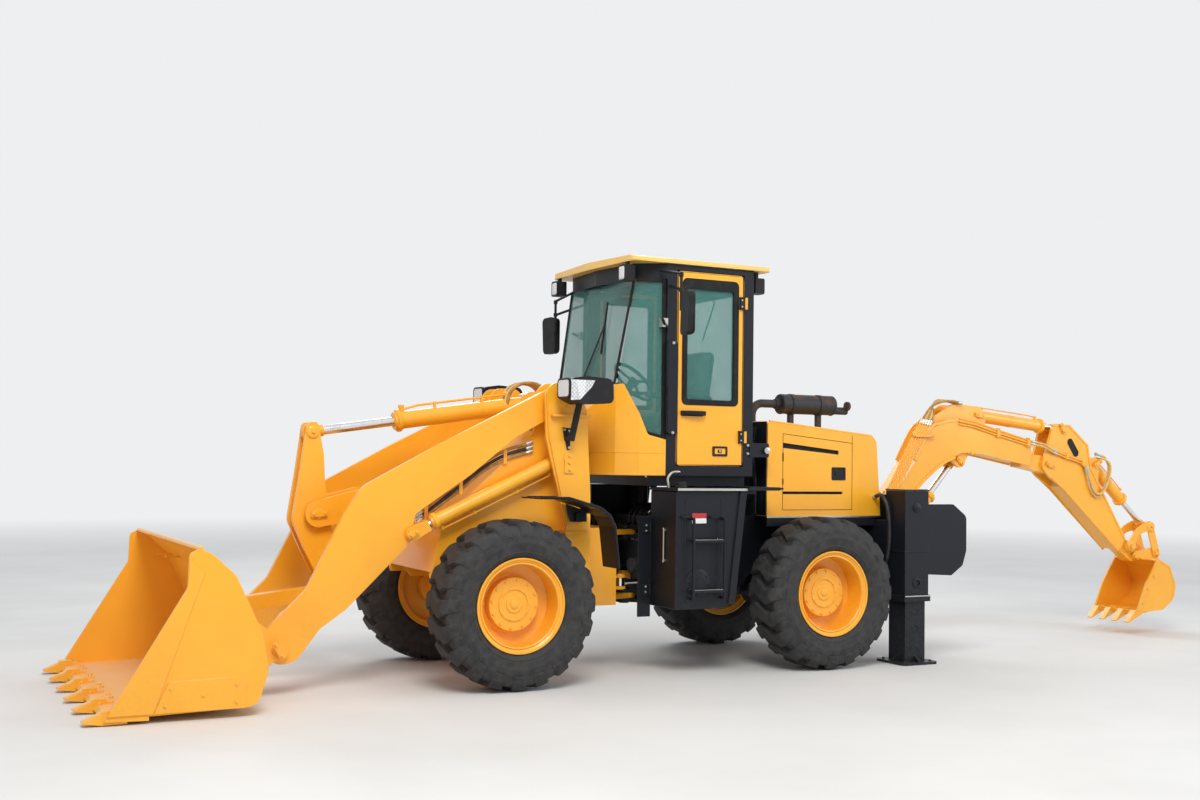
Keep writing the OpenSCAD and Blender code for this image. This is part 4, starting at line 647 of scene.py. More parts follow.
def across(x):
    """Where a plate drawn in Y and Z stands at x, and its depth forwards."""
    return shift_by(x, 0, 0) @ turn_by(90, "Z") @ turn_by(90, "X")


def aimed(a, b, y=0.0):
    """A place at the pin a = [x, z] whose Z points to the pin b."""
    return facing((a[0], y, a[1]), (b[0] - a[0], 0, b[1] - a[1]))


def keeper(piece, x, z, y, angle=0.0, reach=38, outward=1):
    """The small plate with two screws that locks a pin, on the face at y."""
    turn = shift_by(x, 0, z) @ turn_by(-angle, "Y")
    piece.plate(rounded_box(-reach - 20, -20, reach + 20, 20, 9), 9,
                turn @ wall(y + (9 if outward > 0 else 0)))
    for s in (-1, 1):
        at = turn @ Vector((s * reach, y + 9 * outward, 0))
        piece.bolt(at, (0, outward, 0), 17, 20 * s)


def keeper_pair(piece, pin, y, angle, reach):
    """A keeper at both ends of the pin [x, z], on the faces at y and -y."""
    keeper(piece, *pin, y, angle, reach)
    keeper(piece, *pin, -y, angle, reach, -1)


def nipple(piece, at, axis):
    """A grease nipple."""
    piece.turned([(7, 0), (7, 5), (4, 6), (4, 13), (5.5, 15), (3, 18), (0, 18)], facing(at, axis), 8)


def free_hose(name, finish, body, radius, points):
    """A hydraulic hose that hangs between two crimped fittings."""
    path = flowing(points, max(3, 34 // (len(points) - 1)))
    tube = Piece().run(path, radius).finish(name, finish, body)
    ends = Piece()
    for end, inner in ((path[0], path[2]), (path[-1], path[-3])):
        ends.turned([(radius * 0.7, -radius), (radius * 1.28, -radius), (radius * 1.32, radius * 2.2),
                     (radius * 1.12, radius * 3.4), (radius * 0.9, radius * 3.4)], facing(
                         end, inner - end), 12)
    ends = ends.finish(name + "_ends", zinc, body)
    line = [TO_ROW @ p for p in path]
    sum((b - a).length for a, b in zip(line, line[1:]))


def lay_floor():
    f = Finish("pale_floor", (0.70, 0.70, 0.69), 0.75)
    far = f.node("VectorMath", {"operation": "LENGTH"}, {0: f.place()}, output="Value")
    f.set("Base Color", f.mixed((0.72, 0.72, 0.71), (0.66, 0.66, 0.65), f.grain(0.6, 5.0).between(0.4, 0.7)))
    f.bump(f.grain(35.0, 5.0), 0.002, 0.25)
    glow = f.node("Emission", None, {"Color": (0.90, 0.91, 0.92, 1), "Strength": 0.95})
    blend = f.node("MixShader", None, {0: far.between(9.0, 26.0), 1: Value(f, f.shader.outputs[0]), 2: glow})
    out = next(n for n in f.tree.nodes if n.type == "OUTPUT_MATERIAL")
    f.tree.links.new(blend.link, out.inputs[0])
    work = bmesh.new()
    bmesh.ops.create_grid(work, x_segments=8, y_segments=8, size=60.0)
    mesh = bpy.data.meshes.new("floor")
    work.to_mesh(mesh)
    work.free()
    mesh.materials.append(f.material)
    floor = bpy.data.objects.new("floor", mesh)
    bpy.context.scene.collection.objects.link(floor)


# ---------------------------------------------------------------- wheels
def tyre_mesh():
    """A loader tyre about the Y axis at the origin, with slanted bars over both shoulders."""
    piece, sides, bars, tread_r = Piece(), 96, 20, 580
    half = [(147, 300.5), (160, 326), (161, 334), (176, 345), (183, 352), (190, 366), (194, 370), (192, 376),
            (197, 392), (200.5, 425), (203, 431), (203, 439), (201, 446), (201.5, 462), (197, 494),
            (190, 520), (178, 542), (156, 554), (120, 551), (60, 552), (0, 552)]
    rows = half + [(-y, r) for y, r in half[-2::-1]]
    piece.skin([[(r * c, y, r * s) for c, s in circle(sides)] for y, r in rows], loop=True)
    # Stations of one bar across the tread: [distance out, top radius, foot radius, half width]
    flank = [(50, 590, 545, 59), (90, 589.5, 544, 59), (125, 587, 542, 57), (148, 581, 538, 54),
             (164, 571, 530, 52), (182, 553, 512, 51), (193, 528, 490, 52), (201.5, 500, 470, 50),
             (203, 486, 470, 46), (198, 476, 468, 42)]
    stations = [(-y, top, foot, w) for y, top, foot, w in flank[::-1]] + [(0, 590, 545, 59)] + flank
    bends = [(-205, 0), (-50, -60), (90, 15), (205, -25)]
    for k in range(bars):
        turn = 2 * math.pi * k / bars
        rings = []
        for y, top, foot, half_w in stations:
            (y0, c0), (y1, c1) = next(pair for pair in zip(bends, bends[1:]) if y <= pair[1][0])
            shift = c0 + (c1 - c0) * (y - y0) / (y1 - y0)
            ring = []
            for r, w in ((foot, -half_w - 6), (top - 10, -half_w), (top, -half_w + 7), (top, 0),
                         (top, half_w - 7), (top - 10, half_w), (foot, half_w + 6)):
                a = turn + (w + shift) / tread_r
                ring.append((r * math.sin(a), y, r * math.cos(a)))
            rings.append(ring)
        piece.skin(rings)
    return piece


def wheel_iron(outward):
    """Nuts, hub screws, valve and lock ring of one wheel, about the origin; outward is the Y it faces."""
    bolts, dark = Piece(), Piece()
    for x, z, a in ring_of(12, 168, 0.13):
        bolts.bolt((x, outward * 38, z), (0, outward, 0), 15, a)
    for x, z, a in ring_of(10, 109, 0.0):
        bolts.bolt((x, outward * 46, z), (0, outward, 0), 11, a, washer=False)
    bolts.turned([(30, 45), (30, 51), (25, 54), (0, 54)], facing((0, 0, 0), (0, outward, 0)), 20)
    bolts.run(bend_through([(281, outward * 30, 20), (266, outward * 44, 20), (264, outward * 96, 20)], 14),
              6)
    bolts.turned([(8.5, 0), (8.5, 18), (6, 21), (0, 21)], facing((264, outward * 90, 20), (0, outward, 0)),
                 10)
    dark.turned([(283, 150), (287, 156), (292, 158), (297, 156), (298, 149), (288, 146)],
                facing((0, 0, 0), (0, outward, 0)), 72, loop=True)
    return bolts, dark


def dress_wheels():
    tyre = tyre_mesh()
    shared = {}
    for end, x in (("front", FRONT_AXLE_X), ("rear", REAR_AXLE_X)):
        for side, s in SIDES:
            body = f"wheel_{end}_{side}"
            hub = shift_by((x - DATUM_X) * MM, s * WHEEL_Y * MM, AXLE_Z * MM)
            place = hub @ shift_by(DATUM_X * MM, 0, 0)
            made = tyre.finish(f"tyre_treaded_{end}_{side}", rubber, body, sharp=28, place=place)
            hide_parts(f"tyre_{end}_{side}")
            if "tyre" in shared:
                made.data = shared["tyre"]
            shared["tyre"] = made.data
            bolts, dark = wheel_iron(s)
            bolts.finish(f"wheel_nuts_{end}_{side}", yellow, body, place=place)
            dark.finish(f"lock_ring_{end}_{side}", yellow, body, place=place)


# ---------------------------------------------------------------- seat
SEAM = 7.0    # width and depth of a sewn channel


def swell(mesh, reach):
    """Fills a closed mesh as stuffing does a cover; no point moves further than the reach."""
    scene = bpy.context.scene
    pad = bpy.data.objects.new("swelling_pad", mesh)
    scene.collection.objects.link(pad)
    grid = pad.modifiers.new("grid", "REMESH")
    grid.mode, grid.voxel_size = "VOXEL", 0.006
    pad.data = bpy.data.meshes.new_from_object(pad.evaluated_get(bpy.context.evaluated_depsgraph_get()))
    pad.modifiers.remove(pad.modifiers["grid"])
    cloth = pad.modifiers.new("cloth", "CLOTH")
    cloth.settings.use_pressure = True
    cloth.settings.uniform_pressure_force = 4.0
    cloth.settings.effector_weights.gravity = 0.0
    frames = 20
    cloth.point_cache.frame_start, cloth.point_cache.frame_end = 1, frames
    for step in range(1, frames + 1):
        scene.frame_set(step)
    blown = [v.co.copy() for v in pad.evaluated_get(bpy.context.evaluated_depsgraph_get()).data.vertices]
    pad.modifiers.remove(cloth)
    scene.frame_set(1)
    for v, moved in zip(pad.data.vertices, blown):
        step = moved - v.co
        v.co += step * min(1.0, reach / max(step.length, 1e-9))
    mesh = pad.data
    bpy.data.objects.remove(pad)
    return mesh


def cushion(name, low, high, crown, channels, place):
    """A stuffed pad: sides pulled in between its corners, a crowned top, and sewn channels across it."""
    (x0, y0), (x1, y1) = low, high
    depth = crown[1]
    shape = Piece()
    rings = []
    for inset, z in ((14, 0), (4, depth * 0.16), (0, depth * 0.5), (5, depth * 0.82), (22, depth)):
        ring = []
        for x, y in rounded_box(x0 + inset, y0 + inset, x1 - inset, y1 - inset, 70, 6):
            waist = 9 * math.cos(math.pi * (x - x0) / (x1 - x0) - math.pi / 2) * (abs(y) > (y1 - 80))
            ring.append((x, y - math.copysign(waist, y), z))
        rings.append(ring)
    shape.skin(rings)
    mesh = bpy.data.meshes.new(name)
    mesh.from_pydata([p * MM for p in shape.points], [], shape.faces)
    mesh = swell(mesh, 0.014)
    mesh.name = name
    for v in mesh.vertices:
        x, y, z = v.co / MM
        top = max(0.0, min(1.0, (z - depth * 0.45) / (depth * 0.4)))
        across_x, across_y = (x - (x0 + x1) / 2) / (x1 - x0) * 2, (y - (y0 + y1) / 2) / (y1 - y0) * 2
        over = crown[0] * (1 - across_x ** 2) * (1 - across_y ** 2)
        sewn = sum(math.exp(-((x - c) / SEAM) ** 2) for c in channels)
        sewn += math.exp(-((abs(y) - (y1 - y0) * 0.30) / SEAM) ** 2)
        v.co = place @ Vector((x, y, z + top * (over - SEAM * min(sewn, 1.0) * (abs(y) < y1 - 45))))
        v.co = TO_ROW @ v.co
    mesh.materials.clear()
    mesh.materials.append(vinyl)
    mesh.shade_smooth()
    pad = bpy.data.objects.new(name, mesh)
    bpy.context.scene.collection.objects.link(pad)
    pad.modifiers.new("soft", "SUBSURF").levels = 1
    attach(pad, "rear")
    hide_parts("seat")


def dress_seat():
    base = Piece()
    base.turned([(150, 1530), (150, 1541), (142, 1546), (90, 1548), (86, 1560), (86, 1600), (0, 1600)],
                shift_by(700, 0, 0), 32)
    for k in range(9):
        base.block((560 + 2 * (k % 2), -132, 1600 + 22 * k), (840 - 2 * (k % 2), 132, 1618 + 22 * k))
    base.plate(rounded_box(500, -205, 905, 205, 40), 32, shift_by(0, 0, 1806))
    base.plate(rounded_box(470, -222, 938, 222, 55), 18, shift_by(0, 0, 1838))
    lean = shift_by(452, 0, 1950) @ turn_by(-8, "Y")
    base.plate(rounded_box(-220, -40, 220, 545, 70), 16, lean @ across(-14))
    for s in (-1, 1):
        base.run(bend_through([(470, s * 238, 1850), (440, s * 252, 1960), (410, s * 256, 2120),
                               (700, s * 258, 2135)], 40), 13)
        base.turned([(34, 0), (34, 60), (26, 66), (0, 66)], facing((520, s * 236, 1846), (0, s, 0)), 18)
    base.finish("seat_frame", plastic, "rear", edge=2)
    cushion("seat_cushion", (458, -226), (946, 226), (14, 108), (590, 700, 810), shift_by(0, 0, 1858))
    back = lean @ turn_by(90, "Y") @ turn_by(180, "Z")
    cushion("seat_back_cushion", (0, -218), (545, 218), (14, 96), (120, 230, 340), back)
    rests = Piece()
    for s in (-1, 1):
        rests.plate(rounded_box(440, s * 258 - 34, 735, s * 258 + 34, 26), 44, shift_by(0, 0, 2128))
    rests.finish("arm_rests", vinyl, "rear", edge=12)


# ---------------------------------------------------------------- cab
def dress_doors():
    """Window rubbers, latch, lock plate and hinges of both doors."""
    for side, s in SIDES:
        body = f"door_{side}"
        seal, catch, screws = Piece(), Piece(), Piece()
        opening = rounded_box(484, 2073, 902, 2918, 20)
        seal.plate(rounded_box(438, 2029, 948, 2999, 42), 16, wall(683), [opening])
        seal.plate(rounded_box(444, 2035, 942, 2993, 40), 6, wall(658), [opening])
        catch.plate(rounded_box(752, 1944, 956, 1986, 16), 7, wall(686))
        catch.run(bend_through([(938, 684, 1965), (930, 716, 1967), (800, 722, 1958), (764, 704, 1956)], 16),
                  [(-5, -13), (5, -13), (7, 0), (5, 13), (-5, 13)], LEFT)
        catch.plate(rounded_box(535, 1644, 668, 1719, 9), 9, wall(688),
                    [rounded_box(553, 1660, 650, 1703, 6)])
        catch.plate(rounded_box(551, 1658, 652, 1705, 6), 3, wall(683))
        catch.block((588, 682, 1670), (622, 690, 1693)).block((746, CAB_FACE_Y, 1951), (954, 709, 1984))
        for z in (1744, 2784):
            catch.block((383, CAB_FACE_Y, z), (435, 699, z + 98))
        screws.turned([(15, 0), (15, 4), (12, 6), (0, 6)], facing((905, 686, 1965), LEFT), 18)
        screws.turned([(9, 0), (9, 5), (7, 7), (0, 7)], facing((605, 690, 1681), LEFT), 14)
        for z in (1748, 2788):
            for dz in (20, 70):
                screws.bolt((418, 692, z + dz), LEFT, 13, dz)
        seal_edge = Piece().run([(398, 678, 1574), (398, 678, 3042), (984, 678, 3042), (984, 678, 1574),
                                 (398, 678, 1574)], 5)
        for piece, name, finish in ((seal, "door_window_rubber", lip_black), (catch, "door_catch", plastic),
                                    (screws, "door_screws", zinc),
                                    (seal_edge, "door_edge_rubber", lip_black)):
            piece.on_side(s).finish(f"{name}_{side}", finish, body, edge=1.5 if finish is plastic else 0)


def dress_cab():
    seals, trim, screws = Piece(), Piece(), Piece()
    flat = bar(4, 16)
    # Joint of the front and corner glasses, the foot of the corner glass and its edge at the post
    seals.run([(1286, 526, 2979), (1419, 474, 2178)], bar(9, 9))
    seals.run([(1398, 481, 2186), (1318, 534, 2010), (1226, 592, 1826), (1200, 610, 1806),
               (1088, 678, 1772)], flat)
    seals.run([(1099, 671, 1778), (1099, 660, 2974)], flat, FORWARD)
    seals.run([(1092, 664, 2972), (1280, 549, 2972)], flat)
    seals.both_sides()
    seals.run([(1424, -470, 2184), (1424, 470, 2184)], 11)
    seals.plate(rounded_box(-560, 1985, 560, 2963, 40), 14, across(292),
                [rounded_box(-520, 2025, 520, 2923, 24)])
    seals.finish("window_rubbers", lip_black, "rear")
    # Pressed cover on the post beside the door, and the rail at its top
    for inset, y0, y1 in ((0, CAB_FACE_Y, 704), (5, 704, 714)):
        edge = rounded_box(996 + inset, 1797 + inset, 1092 - inset, 2511 - inset, 34)
        trim.skin([[(x, y, z) for x, z in edge] for y in (y0, y1)])
    trim.run(bend_through([(1080, 700, 2600), (1130, 716, 2640), (1170, 760, 2668)], 20), 11)
    trim.both_sides().finish("post_covers", black, "rear", edge=3)
    for z in (1815, 2492):
        screws.bolt((1044, 714, z), LEFT, 20, z)
    for z in (1667, 1732):
        screws.bolt((345, 680, z), LEFT, 18, z)
    for x in (321, 1049, 1175):
        screws.bolt((x, 560, 1490), (0, 0, -1), 26, x)
    screws.block((1092, 660, 2610), (1140, 712, 2676))
    screws.bolt((1116, 712, 2626), LEFT, 14).bolt((1116, 712, 2660), LEFT, 14)
    # Hinge bracket behind the cab, with its bright pin
    screws.turned([(18, 0), (18, 46), (26, 48), (26, 58), (12, 62), (0, 62)], facing((180, 654, 1693), LEFT),
                  14)
    screws.both_sides().finish("cab_screws", zinc, "rear")
    plates = Piece()
    plates.block((150, 600, 1645), (302, 655, 1745))
    plates.plate(rounded_box(150, 1640, 330, 1750, 12), 8, wall(688))
    plates.both_sides().finish("cab_brackets", black, "rear", edge=2)
    # Fold round the cowl
    ridge = Piece()
    outline = [(1084, 680.5), (1300, 665.5), (1450, 560.5), (1616, 300), (1616, -300), (1450, -560.5),
               (1300, -665.5), (1084, -680.5)]
    ridge.run([(x, y, 1663) for x, y in outline], [(-2, -5), (3, -4), (3, 2), (-2, 5)])
    ridge.run([(x, y, 1500) for x, y in outline], bar(2, 8))
    ridge.finish("cowl_fold", yellow, "rear")
    # Wipers before and behind
    wiper = Piece()
    wiper.run(bend_through([(1438, -60, 2196), (1424, -30, 2250), (1362, 190, 2640)], 30), bar(7, 3), FORWARD)
    wiper.run([(1398, 210, 2420), (1334, 190, 2830)], bar(4, 7), FORWARD)
    wiper.turned([(24, -14), (24, 10), (16, 18), (0, 18)], facing((1432, -60, 2192), (1, 0, 0.2)), 18)
    wiper.run(bend_through([(284, 60, 2960), (274, 60, 2900), (276, -120, 2600)], 20), bar(6, 3), FORWARD)
    wiper.finish("wipers", plastic, "rear")
    # Mirror glasses with their rims
    for side, s in SIDES:
        tilt = shift_by(1187, 1150, 2678) @ turn_by(-12, "Z")
        glass_edge = rounded_box(-78, -146, 72, 132, 30)
        face = Piece().plate(glass_edge, 4, tilt @ across(-27))
        rim = Piece().plate(rounded_box(-92, -158, 88, 148, 38), 10, tilt @ across(-30), [glass_edge])
        for z in (2960, 2850):
            rim.turned([(17, -14), (17, 14), (11, 16), (0, 16)], facing((1187, 1060, z), UP), 16)
        face.on_side(s).finish(f"mirror_glass_{side}", mirror_glass, "rear", edge=1)
        rim.on_side(s).finish(f"mirror_rim_{side}", plastic, "rear", edge=2)
    # Lenses and bodies of the work lamps
    lens, rim = Piece(), Piece()
    for x, out, y in ((1421, 1, 585), (189, -1, 600)):
        z = 3010 if out > 0 else 2988
        place = shift_by(x, y, z) @ (Matrix.Identity(4) if out > 0 else turn_by(180, "Z"))
        lens.skin([[(d, a, b) for a, b in rounded_box(-44 + i, -50 + i, 44 - i, 50 - i, 14)]
                   for d, i in ((-2, 0), (6, 1), (10, 8), (12, 20))], place)
        rim.plate(rounded_box(-54, -62, 54, 62, 18), 9, place @ across(-1),
                  [rounded_box(-44, -50, 44, 50, 14)])
        for b in range(5):
            rim.block((-46, -50, -44 + b * 20), (-42, 50, -38 + b * 20), place @ shift_by(-38, 0, 0))
    lens.both_sides()
    rim.both_sides()
    lens.finish("work_lamp_lenses", lens_clear, "rear")
    rim.finish("work_lamp_rims", plastic, "rear", edge=1.5)
    # Roof: rain channel and a round vent
    roof = Piece()
    roof.run(bend_through([(160, -700, 3110), (160, 700, 3110), (1380, 700, 3110), (1408, 0, 3110),
                           (1380, -700, 3110), (160, -700, 3110)], 40), 7)
    roof.turned([(62, 3150), (62, 3156), (56, 3160), (40, 3161), (0, 3161)], shift_by(500, -380, -14), 28)
    roof.finish("roof_channel", roof_cream, "rear")
    # Inside: mat, dash cover, levers, lamp and the grip ribs of the wheel
    inside = Piece()
    inside.plate(rounded_box(420, -560, 1110, 560, 30), 6, shift_by(0, 0, 1530))
    for k in range(26):
        inside.block((435 + 26 * k, -540, 1535), (447 + 26 * k, 540, 1539))
    inside.plate([(1130, -470), (1330, -440), (1360, 0), (1330, 470), (1130, 440)], 26, shift_by(0, 0, 2105))
    for y, lean in ((-110, -0.12), (-170, -0.16)):
        inside.run([(1080, y, 1530), (1050, y, 1700), (1010, y + 120 * lean, 1990)], 9)
        inside.turned([(8, 0), (19, 8), (24, 24), (20, 42), (8, 50), (0, 50)],
                      facing((1010, y + 120 * lean, 1980), UP), 16)
    for y in (-150, 150):
        inside.block((395, y - 70, 1530), (470, y + 70, 1950))
        inside.run(bend_through([(430, y, 1940), (430, y, 2050), (470, y, 2130)], 30), 8)
        inside.turned([(8, 0), (20, 10), (24, 26), (18, 42), (0, 50)], facing((466, y, 2122), (0.35, 0, 1)),
                      16)
    inside.plate(rounded_box(600, -90, 800, 90, 30), 24, shift_by(0, 0, 3070))
    inside.run([(1040, y, z) for y, z in ((-610, 2960), (610, 2960))], bar(18, 30))
    for a in range(16):
        turn = 2 * math.pi * a / 16
        grip = shift_by(990, 0, 2230) @ turn_by(-46, "Y")
        inside.turned([(14.5, -14), (16, -8), (16, 8), (14.5, 14)],
                      grip @ facing((190 * math.cos(turn), 190 * math.sin(turn), 0),
                                    (-math.sin(turn), math.cos(turn), 0)), 12)
    inside.finish("cab_inside", plastic, "rear", edge=0)


# ---------------------------------------------------------------- tanks and steps
def dress_tanks():
    bright, dark, red, white = Piece(), Piece(), Piece(), Piece()
    bright.block((484, 900.5, 1384), (1102, 904, 1401))
    bright.run(bend_through([(1096, 760, 1402), (1112, 760, 1470), (1070, 760, 1520), (990, 760, 1522),
                             (990, 700, 1500)], 40), 9)
    # Sight gauge on the front face
    bright.block((1100, 706, 850), (1109, 730, 868)).block((1100, 706, 1078), (1109, 730, 1096))
    bright.turned([(7, 0), (7, 232)], facing((1112, 718, 858), UP), 12)
    bright.bolt((1112, 718, 850), FORWARD, 14).bolt((1112, 718, 1096), FORWARD, 14)
    for z in (1010, 640):
        bright.block((716, 926, z + 8), (968, 932.5, z + 12))
    bright.block((736, 876, 1012), (742, 880, 1030))
    red.block((838, 874, 1178), (962, 880, 1216))
    white.block((838, 874, 1140), (962, 880, 1177))
    # Hinge pairs of the door beside the tank, handles and the round cover behind the ladder
    for z in (626, 1090):
        dark.turned([(11, -36), (11, 36)], facing((1109, 512, z), UP), 12)
        dark.plate(rounded_box(1120, z - 40, 1168, z + 40, 8), 6, wall(508))
        for dz in (-20, 20):
            bright.bolt((1142, 508, z + dz), LEFT, 14, z + dz)
    for x in (1030, 784):
        dark.run(bend_through([(x - 26, 874, 1187), (x - 26, 900, 1187), (x + 26, 900, 1187),
                               (x + 26, 874, 1187)], 14), 7)
    dark.turned([(104, -2), (104, 8), (96, 14), (60, 16), (56, 22), (0, 24)], facing((905, 876, 700), LEFT),
                36)
    for x, z, a in ring_of(8, 84, 0.2):
        dark.bolt((905 + x, 889, 700 + z), LEFT, 13, a)
    # Treads' grip plates, filler cap and drain plug
    for z in (640, 1010):
        for k in range(12):
            dark.block((722 + 20 * k, 882, z + 8), (730 + 20 * k, 924, z + 13))
    dark.turned([(46, 0), (46, 12), (40, 16), (40, 40), (34, 46), (0, 46)], shift_by(1035, 835, 1402), 24)
    dark.run(bend_through([(1035, 835, 1440), (1035, 870, 1436), (1068, 876, 1412)], 12), 3)
    dark.turned([(20, 0), (20, 14), (14, 18), (0, 18)], facing((940, 700, 505), (0, 0, -1)), 6)
    # Ribs pressed in the outer face
    for x in (700, 1010):
        dark.run([(x, 877, 560), (x, 877, 1330)], [(-3, -14), (3, -8), (3, 8), (-3, 14)], FORWARD)
    for piece, name, finish in ((bright, "tank_bright_parts", zinc), (dark, "tank_fittings", black),
                                (red, "red_reflectors", lens_red), (white, "white_reflectors", white_film)):
        piece.both_sides().finish(name, finish, "rear", edge=1)


# ---------------------------------------------------------------- loader
def gland(piece, a, b, y, at, radius, rod_radius, bolts=8):
    """Bolted flange at a barrel's end, at that distance from the pin a."""
    place = aimed(a, b, y)
    piece.turned([(radius * 1.02, at - 52), (radius * 1.24, at - 48), (radius * 1.28, at - 44),
                  (radius * 1.28, at - 22), (radius * 1.2, at - 18), (rod_radius + 9, at - 18),
                  (rod_radius + 7, at + 4), (rod_radius + 1, at + 6), (rod_radius + 1, at - 20)], place, 36)
    for x, z, turn in ring_of(bolts, radius * 1.08, 0.2):
        spot = place @ Vector((x, z, at - 18))
        piece.bolt(spot, place.to_3x3() @ Vector((0, 0, 1)), radius * 0.20, turn, washer=False)


def dress_loader():
    # Lift cylinders: gland, pipe along the barrel and its fittings
    lift = Piece()
    gland(lift, LIFT_BASE, LIFT_PIN, ARM_Y, 1120, 50, 27)
    place = aimed(LIFT_BASE, LIFT_PIN, ARM_Y)
    run = [(0, 68, 120), (0, 74, 150), (0, 74, 1030), (0, 56, 1060)]
    lift.run([place @ Vector((x, -y, z)) for x, y, z in bend_through(run, 12)], 7)
    for at in (140, 1050):
        lift.turned([(13, 40), (13, 74), (10, 80), (0, 80)], place @ shift_by(0, 0, at) @ turn_by(90, "X"),
                    12)
    for at in (420, 780):
        lift.turned([(51.5, at), (51.5, at + 14)], place, 30)
        lift.block((-9, -84, at), (9, -48, at + 14), place)
    lift.both_sides().finish("lift_barrel_fittings", yellow_tube, "lift_barrels")
    rods = Piece()
    keeper(rods, *LIFT_PIN, 582.5, -25, 24)
    nipple(rods, (3012, 560, 1120), (-0.3, 0, 1))
    rods.both_sides().finish("lift_pin_keepers", yellow, "lift_rods", edge=1)
    front = Piece()
    keeper(front, *BOOM_PIVOT, 631, 30, 44)
    # Towers: three-screw plate, cap and lip plates
    front.plate(rounded_box(1822, 1500, 1898, 1650, 10), 10, wall(629))
    for z in (1526, 1575, 1624):
        front.bolt((1860, 629, z), LEFT, 18, z)
    front.block((1700, 436, 1912), (2015, 660, 1930)).block((1716, 436, 1060), (1900, 652, 1080))
    front.run([(2052, 628, 2085), (2030, 628, 1780), (1868, 628, 1120)], bar(3, 5), LEFT)
    front.bolt((1800, 640, 1150), LEFT, 22)
    front.both_sides().finish("tower_plates", yellow, "front", edge=1.5)
    arms = Piece()
    # Weld beads where the arm's cross tube and bosses meet the plates
    for y in (499.5, 544.5):
        bead(arms, 100, (4, 6), (BOOM_PIVOT[0], y, BOOM_PIVOT[1]))
    for y in (499, 136):
        bead(arms, 72, (6, 8), (3225, y, 1262), 36)
    keeper(arms, *BELL_PIVOT, 147, -4, 40)
    arms.both_sides()
    nipple(arms, (3575, 0, 1290), UP)
    for s in (-1, 1):
        nipple(arms, (1906, s * 522, 2124), UP)
    arms.finish("arm_fittings", yellow, "loader_boom", edge=1)
    bell = Piece()
    for x, z in (BELL_TOP, BELL_LOW):
        bell.turned([(44, -12), (44, -2), (38, 2), (20, 3), (0, 3)], facing((x, 92, z), LEFT), 30)
        bell.bolt((x, 95, z), LEFT, 22)
    bead(bell, 78, (5, 10), (BELL_PIVOT[0], 80.5, BELL_PIVOT[1]))
    bell.both_sides()
    for z in (1480, 960):
        bell.block((3535, -46, z), (3555, 46, z + 90))
    bell.finish("bellcrank_fittings", yellow, "bellcrank")
    # Tilt cylinder: gland, pipe along its top and the banjo fittings
    tilt = Piece()
    gland(tilt, BOOM_PIVOT, BELL_TOP, 0, 1100, 64, 34)
    place = aimed(BOOM_PIVOT, BELL_TOP, 0)
    tilt.run([place @ Vector((0, y, z)) for y, z in (
        (92, 190), (96, 240), (96, 900), (80, 1010), (60, 1030))], 9)
    for at in (180, 1030):
        tilt.turned([(17, 50), (17, 92), (22, 94), (22, 112), (14, 116), (0, 116)],
                    place @ shift_by(0, 0, at) @ turn_by(-90, "X"), 14)
    for at in (380, 760):
        tilt.turned([(65.5, at), (65.5, at + 16)], place, 32)
        tilt.block((-10, 62, at), (10, 108, at + 16), place)
    tilt.finish("tilt_barrel_fittings", yellow_tube, "tilt_barrel")
    # Hose bundles at the tower: over the tilt cylinder's foot and behind the arm's lower edge
    for k, y in enumerate((-70, -25, 25, 70)):
        free_hose(f"tower_hose_{k}", brown_hose if k % 2 else pale_hose, "front", 13,
                  [(x, y * spread, z) for x, spread, z in (
                      (1960, 1, 1700), (1800, 1.1, 1900), (1770, 1.2, 2060), (1850, 1, 2165),
                      (1980, 0.9, 2178), (2080, 0.8, 2120), (2110, 0.7, 1990), (2060, 0.7, 1830))])
    for side, s in SIDES:
        for k, drop in enumerate((0, 34, 66)):
            free_hose(f"arm_hose_{side}_{k}", brown_hose if k != 1 else hose, "loader_boom", 12,
                      [(x, s * y, z - drop * share) for x, y, z, share in (
                          (2092, 452, 1722, 1), (2150, 453, 1704, 1), (2300, 454, 1660, 1),
                          (2480, 453, 1560, 0.9), (2640, 454, 1440, 1), (2810, 453, 1306, 0.8),
                          (2960, 454, 1196, 0.7))])
        clips = Piece()
        for x, z in ((2300, 1600), (2640, 1380), (2900, 1190)):
            clips.block((x - 14, 440, z - 40), (x + 14, 467, z + 70))
        clips.on_side(s).finish(f"arm_hose_clips_{side}", yellow, "loader_boom", edge=3)


